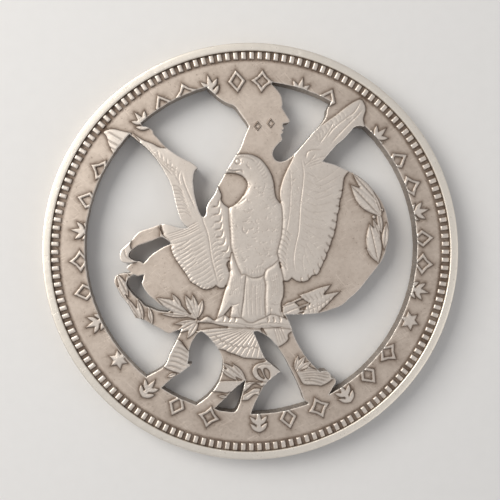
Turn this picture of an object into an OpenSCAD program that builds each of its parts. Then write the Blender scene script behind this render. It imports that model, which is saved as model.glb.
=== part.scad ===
// Cut coin: a crown-sized struck silver coin whose field has been sawn through,
// so that a bird, branches and a figure's head stand inside the coin's own rim.
// Millimetres. The struck front faces +Z and the origin is the centre of the underside.

/* [Coin] */
// Diameter over the reeded edge
coin_d = 38.1; // [38:0.1:39]
// Thickness over both rims
rim_h = 2.4; // [2.2:0.05:2.8]
// Depth of each field below its rim
field_drop = 0.35; // [0.3:0.05:0.45]
// Width of the flat rim
rim_w = 0.8; // [0.6:0.05:0.9]
// Number of reeds around the edge
reeds = 188; // [120:4:200]
// Depth of a reed
reed_depth = 0.12; // [0.05:0.01:0.15]

/* [Denticles] */
// Number of denticles on each face
denticles = 152; // [140:2:152]
// Length of a denticle along the radius
denticle_l = 0.72; // [0.5:0.02:0.86]
// Width of a denticle
denticle_w = 0.44; // [0.3:0.02:0.46]
// Height of a denticle above its field
denticle_h = 0.22; // [0.1:0.01:0.28]

/* [Relief] */
// Height of the border's marks and stars above the field
mark_h = 0.14; // [0.1:0.01:0.25]
// Height of the leaves, arrows and ribbons above the field
leaf_h = 0.15; // [0.1:0.01:0.28]
// Height of the bird's wings and tail above the field
wing_h = 0.17; // [0.1:0.01:0.28]
// Height of the bird's body, head and legs above the field
body_h = 0.24; // [0.1:0.01:0.33]

/* [Sawn openings] */
// Radius of the circle that the border ring is sawn to
ring_cut_r = 15.25; // [15.1:0.05:15.35]

/* [Hidden] */
$fn = 96;

coin_r = coin_d / 2;
rim_in_r = coin_r - rim_w;
front_z = rim_h - field_drop;
back_z = field_drop;
ring_cut_at = [0.05, 0.35];
rim_round = 0.12;
rim_out_r = coin_r - 0.03;
mark_r = 15.6;
mark_r_right = 15.8;
mark_scale = 1.15;
curve_steps = 3;
leaf_steps = 6;
silver = [0.84, 0.81, 0.76];
field_silver = [0.72, 0.67, 0.61];

// A point of the smooth curve from b to c, with neighbours a and d
function curve_point(a, b, c, d, t) =
  0.5 * (2 * b + (c - a) * t + (2 * a - 5 * b + 4 * c - d) * t * t
    + (3 * b - a - 3 * c + d) * t * t * t);

// A point is [x, y], or [x, y, 1] where the outline has a corner
function flat(p) = [p[0], p[1]];
function is_corner(p) = len(p) > 2;

// Closed outline that curves through its points and turns sharply at its corners
function smooth(path) = [
  for (i = [0 : len(path) - 1])
    let (
      n = len(path),
      b = path[i],
      c = path[(i + 1) % n],
      a = is_corner(b) ? b : path[(i + n - 1) % n],
      d = is_corner(c) ? c : path[(i + 2) % n],
      steps = is_corner(b) && is_corner(c) ? 1 : curve_steps
    )
    for (s = [0 : steps - 1]) curve_point(flat(a), flat(b), flat(c), flat(d), s / steps)
];

module outline(path) { polygon(smooth(path)); }

// Pointed leaf from its base to its tip
module leaf(base, tip, width) {
  run = tip - base;
  side = [-run[1], run[0]] / norm(run) * width / 2;
  polygon(concat(
    [for (i = [0 : leaf_steps - 1]) base + run * i / leaf_steps + side * sin(180 * i / leaf_steps)],
    [for (i = [leaf_steps : -1 : 1]) base + run * i / leaf_steps - side * sin(180 * i / leaf_steps)]
  ));
}

module leaves(list) {
  for (item = list) leaf(item[0], item[1], item[2]);
}

module star(points, outer, inner) {
  polygon([for (i = [0 : 2 * points - 1])
    (i % 2 == 0 ? outer : inner) * [cos(180 * i / points), sin(180 * i / points)]]);
}

// ---- The sawn openings ----

// The figure's head keeps the place and size of the sawn silhouette. Its profile is a
// plain, calm one: brow, nose and chin stand at even thirds of the face.
chin_at = [2.75, 10.1];
face_third = 1.65;
face_profile = [for (p = [
  [-0.42, -0.42], [-0.16, -0.1], [0.04, 0.1], [-0.02, 0.36], [0.1, 0.52], [0.03, 0.62, 1],
  [0.13, 0.72], [0.06, 0.88], [0.09, 1, 1], [0.46, 1.1], [0.26, 1.5], [0.03, 1.86],
  [0.06, 2.08], [-0.02, 2.5], [-0.24, 2.85]
]) concat(chin_at + face_third * flat(p), is_corner(p) ? [1] : [])];

opening_left = [
  [-11.05, 10.65, 1], [-9.9, 9.75], [-9.25, 9.15], [-8.5, 8.2], [-7.9, 7.2], [-7.3, 6.0],
  [-6.95, 4.5], [-6.6, 3.3], [-6.3, 2.7], [-5.8, 2.17, 1], [-6.5, 2.2], [-7.3, 2.42],
  [-8.1, 2.55], [-9.0, 2.25], [-9.9, 1.97], [-10.4, 1.7], [-11.0, 1.0], [-11.5, 0.5],
  [-11.9, 0.1], [-12.0, -0.4], [-11.8, -0.92], [-11.3, -1.0], [-10.9, -1.03, 1],
  [-11.4, -1.45], [-11.0, -1.9, 1], [-12.0, -2.0], [-12.4, -2.25], [-12.5, -2.85],
  [-12.2, -3.4], [-11.9, -4.0], [-11.4, -4.6], [-10.95, -5.3], [-10.6, -6.05, 1],
  [-10.0, -6.15], [-9.2, -6.55], [-8.4, -7.0], [-7.6, -7.45], [-7.1, -7.3], [-6.35, -7.0, 1],
  [-6.65, -7.7], [-7.1, -8.6], [-7.45, -9.3], [-7.75, -10.1], [-8.2, -10.65],
  [-8.8, -11.0], [-9.5, -11.35, 1], [-10.3, -12.5, 1], [-16.5, -8, 1], [-17.5, 0, 1],
  [-16, 8, 1], [-12, 11.6, 1]
];
opening_top_left = [
  [-10.05, 11.7, 1], [-10.9, 12.9, 1], [-4.2, 16.2, 1], [-4.0, 14.9, 1], [-3.4, 14.4],
  [-2.9, 13.95], [-2.2, 13.55], [-1.55, 13.3], [-1.0, 12.6], [-0.55, 12.0], [-0.2, 11.45, 1],
  [-0.6, 10.6], [-1.0, 9.5], [-1.45, 8.75], [-2.0, 7.9], [-2.55, 6.9], [-3.0, 6.1],
  [-3.4, 5.2], [-3.85, 4.6], [-4.1, 4.0], [-4.15, 3.45], [-4.4, 3.2], [-4.7, 3.5],
  [-5.0, 4.3], [-5.25, 5.4], [-5.35, 6.5], [-5.25, 7.3], [-4.92, 7.68, 1], [-5.5, 8.15],
  [-6.2, 8.5], [-7.0, 8.95], [-7.8, 9.55], [-8.5, 10.3], [-8.9, 10.75], [-9.0, 11.05],
  [-9.5, 11.35], [-9.95, 11.45]
];
opening_upper_claw = [
  [-11.15, -0.1], [-10.85, 0.25], [-10.3, 0.6], [-9.6, 0.85], [-8.9, 1.1], [-8.3, 1.35],
  [-7.85, 1.2], [-7.3, 0.75, 1], [-7.9, 0.5], [-8.6, 0.1], [-9.2, -0.35], [-9.6, -0.8],
  [-9.85, -1.05], [-10.15, -0.88], [-10.6, -0.82], [-11.0, -0.62], [-11.2, -0.4]
];
opening_lower_claw = [
  [-10.75, -2.05], [-10.4, -2.2], [-9.8, -2.05, 1], [-9.88, -2.5], [-10.0, -2.85],
  [-9.8, -3.35], [-9.4, -3.9], [-8.85, -4.4], [-8.1, -4.95], [-7.35, -5.3, 1], [-7.65, -5.5],
  [-8.4, -5.4], [-9.2, -5.1], [-9.75, -4.9], [-10.1, -4.5], [-10.7, -4.0], [-11.1, -3.5],
  [-11.4, -3.0], [-11.35, -2.6], [-11.1, -2.3]
];
opening_lower_left = [
  [-4.5, -7.3], [-3.95, -7.75], [-3.35, -8.45], [-2.9, -9.15], [-2.65, -9.8], [-2.6, -10.5],
  [-2.75, -11.3], [-3.05, -12.05], [-3.5, -12.7], [-4.1, -13.35], [-5.0, -14.0, 1],
  [-5.4, -15.4, 1], [-9.2, -13.7, 1], [-8.2, -12.4, 1], [-7.3, -11.6], [-6.4, -11.0],
  [-5.45, -10.25, 1], [-5.85, -10.2, 1], [-5.75, -9.6], [-5.7, -9.0], [-5.5, -8.35],
  [-5.15, -7.75], [-4.85, -7.38]
];
opening_small = [
  [-0.55, -11.75, 1], [-1.2, -12.2], [-1.8, -12.75], [-2.35, -13.35], [-2.9, -13.9],
  [-3.4, -14.35, 1], [-2.9, -14.55], [-2.3, -14.65], [-1.6, -14.7], [-1.35, -14.5],
  [-1.1, -14.0], [-0.9, -13.3], [-0.72, -12.6]
];
opening_bottom = [
  [0.2, -7.35], [0.55, -7.25], [1.0, -7.45], [1.6, -7.85], [2.15, -8.4], [2.65, -9.05],
  [3.15, -9.85], [3.6, -10.7], [4.0, -11.5], [4.4, -12.35], [4.7, -13.1], [4.85, -13.6],
  [5.25, -13.88, 1], [5.8, -15.4, 1], [0.0, -16, 1], [0.0, -14.75, 1], [0.3, -13.9],
  [0.75, -13.05], [1.15, -12.35], [1.65, -11.75], [2.65, -10.95, 1], [2.2, -10.6],
  [1.8, -10.25], [1.4, -9.95], [1.1, -9.5], [0.85, -8.9], [0.5, -8.0]
];
opening_right = [
  [6.5, 8.3, 1], [7.2, 9.15], [7.9, 9.9], [8.5, 10.4], [9.05, 11.0], [9.4, 11.4],
  [9.9, 11.55], [10.3, 11.45, 1], [11.4, 12.6, 1], [16.5, 8, 1], [17.5, 0, 1],
  [15, -9, 1], [10, -14, 1], [7.7, -14.2, 1], [7.15, -13.15, 1], [7.45, -12.55], [7.8, -12.0],
  [7.7, -11.65, 1], [7.35, -11.6, 1], [7.25, -11.2], [6.9, -10.92], [6.3, -11.0, 1],
  [5.9, -10.6], [5.35, -10.05], [4.8, -9.3], [4.3, -8.45], [3.9, -7.65], [3.55, -6.6],
  [3.15, -5.72, 1], [4.1, -5.75], [5.3, -5.7], [6.3, -5.6], [7.3, -5.3], [8.3, -4.9],
  [9.05, -4.25], [9.75, -3.65], [10.3, -3.0], [11.0, -2.1], [11.75, -1.15], [12.2, -0.4],
  [12.45, 0.5], [12.63, 1.5], [12.65, 2.3], [12.5, 3.2], [12.2, 4.2], [11.7, 5.05],
  [11.1, 5.8], [10.4, 6.5], [9.6, 7.1], [8.8, 7.45], [7.8, 7.9]
];
opening_top_right = concat(
  [[7.25, 13.6, 1], [6.95, 13.0], [6.85, 12.4], [6.5, 11.85], [6.1, 11.35], [5.5, 10.75],
   [5.0, 10.15], [4.4, 9.45], [3.9, 8.9], [3.3, 8.45], [2.7, 8.25], [2.2, 8.4], [1.95, 8.9]],
  face_profile,
  [[1.85, 15.3, 1], [1.9, 16.6, 1], [8.1, 15.3, 1]]
);

module within_ring() {
  intersection() {
    translate(ring_cut_at) circle(ring_cut_r, $fn = 180);
    children();
  }
}

module openings_left_half() {
  within_ring() outline(opening_left);
  within_ring() outline(opening_top_left);
  outline(opening_upper_claw);
  outline(opening_lower_claw);
}

module openings_lower() {
  within_ring() outline(opening_lower_left);
  outline(opening_small);
  within_ring() outline(opening_bottom);
}

module openings_right_half() {
  within_ring() outline(opening_right);
  within_ring() outline(opening_top_right);
}

module openings() {
  openings_left_half();
  openings_lower();
  openings_right_half();
}

// A flat device raised off the front field and sawn with it
module struck(h) {
  translate([0, 0, front_z]) linear_extrude(h) difference() {
    children();
    openings();
  }
}

// ---- The blank, its edge and its rims ----

module pierced_blank() {
  color(field_silver) translate([0, 0, back_z]) linear_extrude(front_z - back_z) difference() {
    circle(rim_in_r, $fn = 180);
    openings();
  }
}

module reeded_edge() {
  steps = 4;
  color(silver) translate([0, 0, back_z]) linear_extrude(front_z - back_z) difference() {
    polygon([for (i = [0 : steps * reeds - 1])
      (coin_r - (i % steps == 2 ? reed_depth : i % steps == 0 ? 0 : reed_depth / 3))
        * [cos(360 * i / (steps * reeds)), sin(360 * i / (steps * reeds))]]);
    circle(rim_in_r, $fn = 180);
  }
}

module rim_ring() {
  rotate_extrude($fn = 180) polygon([
    [rim_in_r, 0], [rim_out_r, 0], [rim_out_r, field_drop - rim_round],
    [rim_out_r - rim_round, field_drop], [rim_in_r + rim_round, field_drop],
    [rim_in_r, field_drop - rim_round]
  ]);
}

module front_rim() {
  color(silver) translate([0, 0, front_z]) rim_ring();
}

module back_rim() {
  color(silver) translate([0, 0, back_z]) mirror([0, 0, 1]) rim_ring();
}

module denticle_ring() {
  for (i = [0 : denticles - 1])
    rotate(360 * i / denticles)
      translate([rim_in_r - denticle_l, -denticle_w / 2, 0]) cube([denticle_l, denticle_w, denticle_h]);
}

module front_denticles() {
  color(silver) translate([0, 0, front_z]) denticle_ring();
}

module back_denticles() {
  color(silver) translate([0, 0, back_z]) mirror([0, 0, 1]) denticle_ring();
}

// ---- The border's marks: plain ornaments where a coin has its legend ----

// Each mark is drawn upright at the origin, 1.9 mm tall
module knot_mark() {
  difference() {
    star(4, 0.95, 0.56);
    star(4, 0.44, 0.28);
  }
}

module sprig_mark() {
  leaf([0, -0.95], [0, 0.95], 0.5);
  for (side = [-1, 1], y = [-0.9, -0.35]) leaf([0, y], [side * 0.74, y + 0.85], 0.42);
}

module lozenge_mark() {
  difference() {
    polygon([[0, -0.95], [0.74, 0], [0, 0.95], [-0.74, 0]]);
    polygon([[0, -0.48], [0.36, 0], [0, 0.48], [-0.36, 0]]);
  }
}

// Marks stand on a circle at the angles given; foot_in is true where their feet point inwards
module border_marks(angles, foot_in, on_r = mark_r) {
  color(silver) struck(mark_h)
    for (i = [0 : len(angles) - 1])
      rotate(angles[i] - 90) translate([0, on_r]) rotate(foot_in ? 0 : 180) scale([mark_scale, mark_scale]) {
        if (i % 3 == 0) sprig_mark();
        if (i % 3 == 1) lozenge_mark();
        if (i % 3 == 2) knot_mark();
      }
}

module border_marks_left() { border_marks([204.5, 193.5, 183, 173, 162.5, 151.5], true); }
module border_marks_top() { border_marks([130, 121, 112.5, 104, 95, 86.5, 73.5, 63.5], true); }
module border_marks_right() {
  border_marks([42.5, 32, 22.5, 13.5, 4.5, 356, 347], true, mark_r_right);
}
module border_marks_bottom() {
  border_marks([233, 244, 255.5, 272.5, 282.5, 293.5, 303.5, 313.5, 323.5], false);
}

module border_star(angle, on_r) {
  color(silver) struck(mark_h)
    rotate(angle) translate([on_r, 0]) star(6, 0.98, 0.55);
}

module left_star() { border_star(219, mark_r); }
module right_star() { border_star(336.5, mark_r_right + 0.1); }

module motto_lozenges() {
  color(silver) struck(mark_h)
    for (at = [[0.55, 11.5], [1.75, 11.75]]) translate(at) scale([0.5, 0.5]) lozenge_mark();
}

// ---- The bird ----

bird_path = [
  [-1.3, 8.95, 1], [-0.6, 9.0], [0.1, 8.9], [0.8, 8.55], [1.35, 7.95], [1.8, 7.2], [2.05, 6.4],
  [2.15, 5.6], [2.3, 4.95], [2.68, 4.4], [2.8, 3.5], [2.8, 2.5], [2.7, 1.5], [2.5, 0.6],
  [2.35, -0.1], [2.45, -0.7], [1.9, -1.25, 1], [1.35, -1.6], [1.1, -2.1], [0.5, -2.35],
  [-0.1, -2.3], [-0.55, -2.05], [-0.9, -2.1, 1], [-1.15, -1.6], [-1.45, -0.9], [-1.75, 0.0],
  [-1.9, 0.6], [-1.95, 1.6], [-2.05, 2.8], [-2.1, 4.1, 1], [-1.65, 4.3], [-1.25, 4.6],
  [-0.9, 5.05], [-0.55, 5.6], [-0.4, 6.15], [-0.6, 6.6], [-1.0, 6.95], [-1.7, 7.15],
  [-2.5, 7.15, 1], [-3.2, 7.6, 1]
];
throat_y = 6.3;

module eagle_head() {
  color(silver) struck(body_h) intersection() {
    outline(bird_path);
    translate([-4, throat_y]) square([8, 4]);
  }
}

module eagle_breast() {
  color(silver) struck(body_h) intersection() {
    outline(bird_path);
    translate([-4, throat_y - 10]) square([8, 10]);
  }
}

left_leg_path = [
  [-2.05, -0.95, 1], [-1.85, -0.1, 1], [0, 0, 1], [-0.5, -2.0, 1], [-0.6, -2.8], [-0.68, -3.6],
  [-0.75, -4.4], [-0.85, -5.0], [-1.0, -6.2, 1], [-3.3, -6.2, 1], [-3.05, -5.5], [-2.75, -4.5],
  [-2.5, -3.6], [-2.2, -2.8], [-2.0, -2.0]
];
toe_gap = [[-1.85, -5.05, 1], [-2.45, -5.75, 1], [-2.0, -5.97, 1]];
right_leg_path = [
  [1.9, -1.2, 1], [2.3, -0.2, 1], [2.45, -0.6, 1], [2.75, -1.7], [2.95, -2.7], [3.0, -3.4],
  [2.95, -4.1], [2.75, -4.7], [2.8, -5.4], [3.1, -6.3, 1], [1.35, -6.3, 1], [1.25, -5.0],
  [1.25, -4.0], [1.3, -3.0], [1.15, -2.3], [1.35, -1.6]
];
perch_path = [
  [-5.0, -6.25, 1], [-4.6, -6.15], [-4.3, -5.95], [-4.0, -5.85], [-3.7, -6.0], [-3.4, -6.2],
  [-3.05, -6.0], [-2.5, -5.8], [-2.0, -5.95], [-1.5, -5.98], [-0.9, -6.05], [-0.4, -6.4],
  [0.1, -6.48], [0.6, -6.25], [1.2, -6.0], [1.8, -5.7], [2.5, -5.85], [3.1, -6.0, 1],
  [4.0, -6.6, 1], [3.8, -7.1, 1], [2.5, -6.95], [1.3, -7.0], [0.4, -7.05], [-0.8, -6.95],
  [-2.0, -6.9], [-2.9, -6.75], [-3.7, -6.55], [-4.4, -6.5], [-5.0, -6.5, 1]
];

module left_leg_flat() {
  difference() {
    outline(left_leg_path);
    outline(toe_gap);
    outline(bird_path);
    outline(perch_path);
  }
}

module right_leg_flat() {
  difference() {
    outline(right_leg_path);
    outline(bird_path);
    outline(perch_path);
  }
}

module left_leg() { color(silver) struck(body_h) left_leg_flat(); }
module right_leg() { color(silver) struck(body_h) right_leg_flat(); }
module perch_branch() { color(silver) struck(leaf_h) outline(perch_path); }

module tail() {
  color(silver) struck(wing_h) difference() {
    translate([-1.2, -6.6]) square([2.8, 5]);
    outline(left_leg_path);
    outline(right_leg_path);
    outline(bird_path);
    outline(perch_path);
  }
}

tail_fan_path = [
  [-5.2, -7.2, 1], [-3.6, -6.95], [-2.0, -6.9], [-0.8, -6.95], [0.4, -7.05], [0.9, -7.0, 1],
  [1.6, -9.75, 1], [1.1, -9.85], [0.5, -9.85], [-0.1, -9.8], [-0.7, -9.75, 1], [-1.1, -9.6],
  [-1.6, -9.4, 1], [-2.1, -9.25], [-2.6, -9.0], [-3.6, -8.9, 1]
];

tail_fan_right_path = [
  [0.9, -6.9, 1], [4.0, -6.9, 1], [3.75, -7.3, 1], [3.4, -7.6], [3.45, -7.95], [3.2, -8.3],
  [2.8, -8.6, 1], [2.2, -8.9, 1]
];

module tail_fan() {
  color(silver) struck(wing_h) difference() {
    union() {
      outline(tail_fan_path);
      outline(tail_fan_right_path);
    }
    outline(perch_path);
  }
}

left_wing_path = [
  [-10.9, 10.95, 1], [-10.0, 10.3], [-9.0, 9.9], [-8.3, 9.55], [-7.4, 9.5, 1], [-4.5, 8.2, 1],
  [-3.1, 6.2, 1], [-2.9, 5.7], [-2.7, 5.2], [-2.75, 4.8], [-2.5, 4.4], [-2.1, 4.12, 1],
  [-1.5, 3, 1], [-1.5, -0.4, 1], [-2.2, -1.0], [-2.1, -1.5], [-2.0, -2.0], [-2.2, -2.8],
  [-2.45, -3.3, 1], [-2.9, -3.35], [-3.25, -3.1, 1], [-3.6, -3.35], [-4.2, -3.5], [-4.75, -3.3],
  [-5.1, -3.05, 1], [-5.6, -2.75], [-6.0, -2.1], [-6.5, -1.4], [-6.85, -0.9], [-7.2, -0.3],
  [-7.4, 0.3], [-7.4, 0.8], [-7.7, 1.2], [-8.0, 1.5], [-8.15, 1.9], [-8.3, 2.7, 1],
  [-6.5, 2.6, 1], [-8.2, 7.4, 1]
];

module left_wing() {
  color(silver) struck(wing_h) difference() {
    outline(left_wing_path);
    outline(bird_path);
    outline(left_leg_path);
  }
}

module left_wing_tip() {
  color(silver) struck(wing_h) outline([
    [-13.5, 10.85], [-13.1, 11.15], [-12.5, 11.22], [-11.8, 11.05], [-10.9, 10.85, 1],
    [-11.4, 9.6, 1], [-12.4, 8.6, 1], [-12.75, 9.15], [-13.05, 9.8], [-13.2, 10.4]
  ]);
}

right_wing_path = [
  [10.05, 14.0], [9.4, 13.8], [8.5, 13.2], [7.7, 12.55], [6.9, 12.0], [5.8, 11.2, 1],
  [4.0, 9.2, 1], [3.65, 8.4], [3.2, 7.5], [2.85, 6.7], [2.6, 5.8], [2.55, 5.2], [2.65, 4.4, 1],
  [2.0, 3, 1], [2.0, -0.4, 1], [2.6, -1.0], [2.75, -1.9], [2.95, -2.7, 1], [3.35, -2.7],
  [3.7, -2.4, 1], [4.1, -2.7], [4.7, -2.8], [5.3, -2.6, 1], [5.6, -2.2], [6.0, -2.15],
  [6.3, -1.75], [6.55, -1.15, 1], [6.85, -0.55], [7.0, -0.05, 1], [7.25, 0.5], [7.35, 0.95, 1],
  [7.6, 1.5], [7.7, 1.95, 1], [7.85, 2.7], [7.9, 3.3, 1], [8.1, 4.0], [8.1, 4.5, 1],
  [8.35, 5.4], [8.45, 6.3], [8.6, 6.9], [9.1, 7.5, 1], [8, 9, 1], [10.6, 11.2, 1],
  [10.35, 11.8], [10.3, 12.3], [10.5, 12.95], [10.42, 13.5]
];

module right_wing() {
  color(silver) struck(wing_h) difference() {
    outline(right_wing_path);
    outline(bird_path);
    outline(right_leg_path);
  }
}

// ---- Leaves, arrows and ribbons ----

module olive_leaves() {
  color(silver) struck(leaf_h) difference() {
    leaves([
      [[-5.6, -5.75], [-8.75, -4.15], 1.1], [[-6.3, -5.3], [-7.3, -3.75], 0.6],
      [[-4.95, -6.2], [-6.1, -3.85], 0.85], [[-4.95, -6.2], [-5.4, -3.8], 0.75],
      [[-4.9, -6.1], [-4.45, -4.3], 0.65], [[-5.5, -5.9], [-8.4, -5.65], 0.5],
      [[-4.7, -6.25], [-7.0, -5.25], 0.4], [[-4.7, -6.25], [-7.15, -6.6], 0.55],
      [[-4.8, -6.2], [-6.9, -7.4], 0.8], [[-4.8, -6.2], [-5.9, -7.95], 0.75]
    ]);
    outline(perch_path);
    outline(left_wing_path);
  }
}

feathers_path = [
  [4.3, -3.95, 1], [5.3, -3.6], [6.3, -3.2], [7.4, -2.95, 1], [6.7, -3.85, 1], [7.4, -3.72],
  [8.25, -3.55, 1], [7.6, -4.2], [7.1, -4.75], [6.6, -5.2], [5.6, -6.1, 1], [4.6, -5.9, 1],
  [5.0, -5.0, 1], [5.35, -4.75, 1], [4.9, -4.5]
];

module arrow_feathers() {
  color(silver) struck(leaf_h) outline(feathers_path);
}

module arrow_shafts() {
  color(silver) struck(leaf_h) difference() {
    union() {
      translate([3.65, -5.35]) circle(0.82, $fn = 48);
      for (bar = [[2.9, -5.2, 2.5, 25], [2.9, -5.75, 2.6, 19], [2.6, -6.0, 2.4, 12]])
        translate([bar[0], bar[1]]) rotate(bar[3]) square([bar[2], 0.3]);
    }
    outline(right_leg_path);
    outline(perch_path);
    outline(feathers_path);
  }
}

module wreath_right() {
  color(silver) struck(leaf_h) {
    leaves([
      [[11.9, 3.2], [9.05, 6.2], 1.5], [[11.8, 4.4], [9.2, 7.3], 0.9],
      [[11.7, 3.4], [9.75, 4.55], 0.5], [[12.0, 3.3], [11.2, 5.5], 0.5],
      [[11.7, -1.15], [10.85, 2.65], 1.5], [[11.8, -1.1], [10.5, 0.45], 0.5],
      [[11.3, -0.2], [10.5, 1.45], 0.4], [[12.2, 0.1], [12.45, 2.8], 0.7],
      [[11.9, 1.2], [11.1, 3.1], 0.5], [[12.0, 1.6], [11.6, 4.1], 0.6]
    ]);
    translate([11.95, 3.85]) circle(0.22, $fn = 24);
    translate([11.25, 3.2]) circle(0.2, $fn = 24);
  }
}

module wreath_claws() {
  color(silver) struck(leaf_h) {
    outline([
      [-7.95, 2.7, 1], [-8.35, 2.6], [-8.2, 1.9], [-8.0, 1.5], [-7.6, 1.1], [-7.4, 0.7, 1],
      [-7.9, 1.2, 1], [-8.4, 1.4, 1], [-8.35, 1.9], [-8.5, 2.3], [-8.6, 2.6, 1]
    ]);
    outline([
      [-10.9, 1.2, 1], [-11.0, 0.6], [-10.9, 0.2], [-11.1, -0.1, 1], [-11.2, -0.4, 1],
      [-10.95, -0.65, 1], [-10.4, -0.83, 1], [-10.6, -1.0, 1], [-12.2, -1.1, 1], [-12.2, 0.2, 1]
    ]);
    leaves([
      [[-11.2, -4.1], [-12.3, -1.9], 0.8], [[-11.0, -3.6], [-11.3, -1.9], 0.7],
      [[-11.1, -4.9], [-12.3, -3.0], 0.5], [[-9.9, -6.5], [-11.5, -4.0], 0.55],
      [[-9.85, -6.3], [-10.45, -4.2], 0.6], [[-9.05, -6.7], [-9.4, -4.9], 0.55]
    ]);
  }
}

module wreath_lower_left() {
  color(silver) struck(leaf_h) {
    outline([
      [-6.7, -7.9, 1], [-6.3, -8.25], [-5.9, -8.8], [-5.6, -9.2, 1], [-5.6, -10.3, 1],
      [-5.4, -10.3, 1], [-6.3, -11.2, 1], [-7.2, -10.95], [-7.8, -10.7, 1], [-8.3, -10.4, 1],
      [-7.6, -8.9, 1]
    ]);
    leaf([-6.8, -11.1], [-7.75, -11.45], 0.5);
  }
}

module wreath_lower_middle() {
  color(silver) struck(leaf_h) {
    leaves([
      [[-0.4, -11.9], [-2.75, -10.05], 0.7], [[-0.45, -11.8], [-1.8, -10.15], 0.6],
      [[-1.2, -11.8], [-3.0, -10.5], 0.6]
    ]);
    outline([
      [-3.3, -11.85, 1], [-2.4, -11.75], [-1.2, -11.75], [-0.5, -11.7, 1], [-1.8, -12.8, 1],
      [-2.3, -12.95], [-2.9, -12.85], [-3.8, -12.8, 1]
    ]);
    leaf([-2.1, -13.3], [-3.1, -13.2], 0.4);
  }
}

module bow_loop() {
  color(silver) struck(leaf_h) difference() {
    outline([
      [0.05, -11.1], [0.15, -10.55], [0.55, -10.2], [1.1, -10.05], [1.6, -10.0], [2.8, -10.9, 1],
      [1.7, -11.9, 1], [1.0, -11.9], [0.4, -11.65]
    ]);
    outline([[0.6, -10.75], [0.8, -10.8], [1.0, -11.2], [1.2, -11.6], [0.85, -11.4], [0.62, -11.05]]);
    outline([[1.15, -10.8], [1.35, -10.7], [1.6, -10.95], [1.68, -11.35], [1.6, -11.65], [1.3, -11.35]]);
  }
}

module ribbon() {
  color(silver) struck(leaf_h) {
    outline([
      [-0.6, -11.95, 1], [-0.1, -11.85], [0.5, -11.92], [1.0, -11.92], [1.6, -11.95, 1],
      [1.0, -12.4, 1], [0.5, -12.15], [0.1, -12.2], [-0.2, -12.5], [-0.75, -12.95, 1]
    ]);
    outline([
      [-0.8, -13.1, 1], [-0.2, -12.75], [0.3, -12.45], [0.9, -12.5, 1], [0.7, -13.2, 1],
      [0.35, -13.1], [0.1, -13.25], [-0.3, -13.6], [-0.9, -13.65, 1]
    ]);
  }
}

module wreath_lower_right() {
  color(silver) struck(leaf_h) {
    leaves([
      [[4.0, -10.9], [4.3, -9.45], 0.5], [[4.0, -10.9], [5.0, -9.5], 0.6],
      [[4.1, -11.0], [5.6, -10.0], 0.6]
    ]);
    outline([
      [3.9, -10.7, 1], [4.85, -10.3], [5.5, -10.55], [6.3, -10.85], [7.2, -10.95, 1],
      [7.6, -11.6, 1], [7.0, -12.1], [6.4, -12.35, 1], [5.6, -12.25], [4.8, -12.2],
      [4.4, -11.6, 1]
    ]);
  }
}

// ---- The plain back ----

module struck_back(h) {
  translate([0, 0, back_z - h]) linear_extrude(h) children();
}

module back_stars() {
  count = 24;
  color(silver) struck_back(mark_h)
    for (i = [0 : count - 1]) rotate(360 * i / count) translate([16.35, 0]) star(5, 0.62, 0.25);
}

module back_laurel() {
  count = 36;
  laurel_r = 11.2;
  color(silver) struck_back(leaf_h) difference() {
    for (i = [0 : count - 1], side = [-1, 1])
      rotate(360 * i / count) leaf([laurel_r, 0], [laurel_r + side * 0.75, 1.9], 0.75);
    openings();
  }
}

pierced_blank();
reeded_edge();
front_rim();
back_rim();
front_denticles();
back_denticles();
border_marks_left();
border_marks_top();
border_marks_right();
border_marks_bottom();
left_star();
right_star();
motto_lozenges();
eagle_head();
eagle_breast();
left_wing();
left_wing_tip();
right_wing();
left_leg();
right_leg();
tail();
tail_fan();
perch_branch();
olive_leaves();
arrow_feathers();
arrow_shafts();
wreath_right();
wreath_claws();
wreath_lower_left();
wreath_lower_middle();
bow_loop();
ribbon();
wreath_lower_right();
back_stars();
back_laurel();
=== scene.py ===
import math
from collections import Counter

import bpy
import numpy as np
from mathutils import Matrix, Vector, noise
from mathutils.geometry import delaunay_2d_cdt
from mathutils.kdtree import KDTree


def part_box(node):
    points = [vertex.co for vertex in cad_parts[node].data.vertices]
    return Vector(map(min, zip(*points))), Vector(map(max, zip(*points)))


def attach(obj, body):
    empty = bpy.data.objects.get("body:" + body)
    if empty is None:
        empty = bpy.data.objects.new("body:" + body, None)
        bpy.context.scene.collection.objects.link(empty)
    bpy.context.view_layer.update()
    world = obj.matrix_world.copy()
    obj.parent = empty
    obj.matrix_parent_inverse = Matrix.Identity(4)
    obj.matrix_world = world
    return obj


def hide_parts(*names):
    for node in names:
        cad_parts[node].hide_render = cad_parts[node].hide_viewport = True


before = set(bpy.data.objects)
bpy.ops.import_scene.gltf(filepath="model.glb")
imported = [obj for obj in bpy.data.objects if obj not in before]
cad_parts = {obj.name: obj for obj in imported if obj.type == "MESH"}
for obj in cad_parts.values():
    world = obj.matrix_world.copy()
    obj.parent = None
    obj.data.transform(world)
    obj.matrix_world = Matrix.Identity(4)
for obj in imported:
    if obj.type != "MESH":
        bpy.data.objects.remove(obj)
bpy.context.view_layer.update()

bl_info = {
    "name": "Sawn silver coin",
    "version": (1, 0, 0),
    "blender": (4, 5, 0),
    "location": "3D View > Sidebar > Coin",
    "description": "Builds the struck relief, edge and finish of a sawn silver coin",
    "category": "Add Mesh",
}

# All shapes below are drawn in millimetres on the coin's face and turned to metres at the end.
MM = 0.001
BODY = "root"
FAR = 99.0


def box_mm(node):
    """Lowest and highest corner of a CAD node, in millimetres."""
    low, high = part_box(node)
    return np.array(low) / MM, np.array(high) / MM


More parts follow.
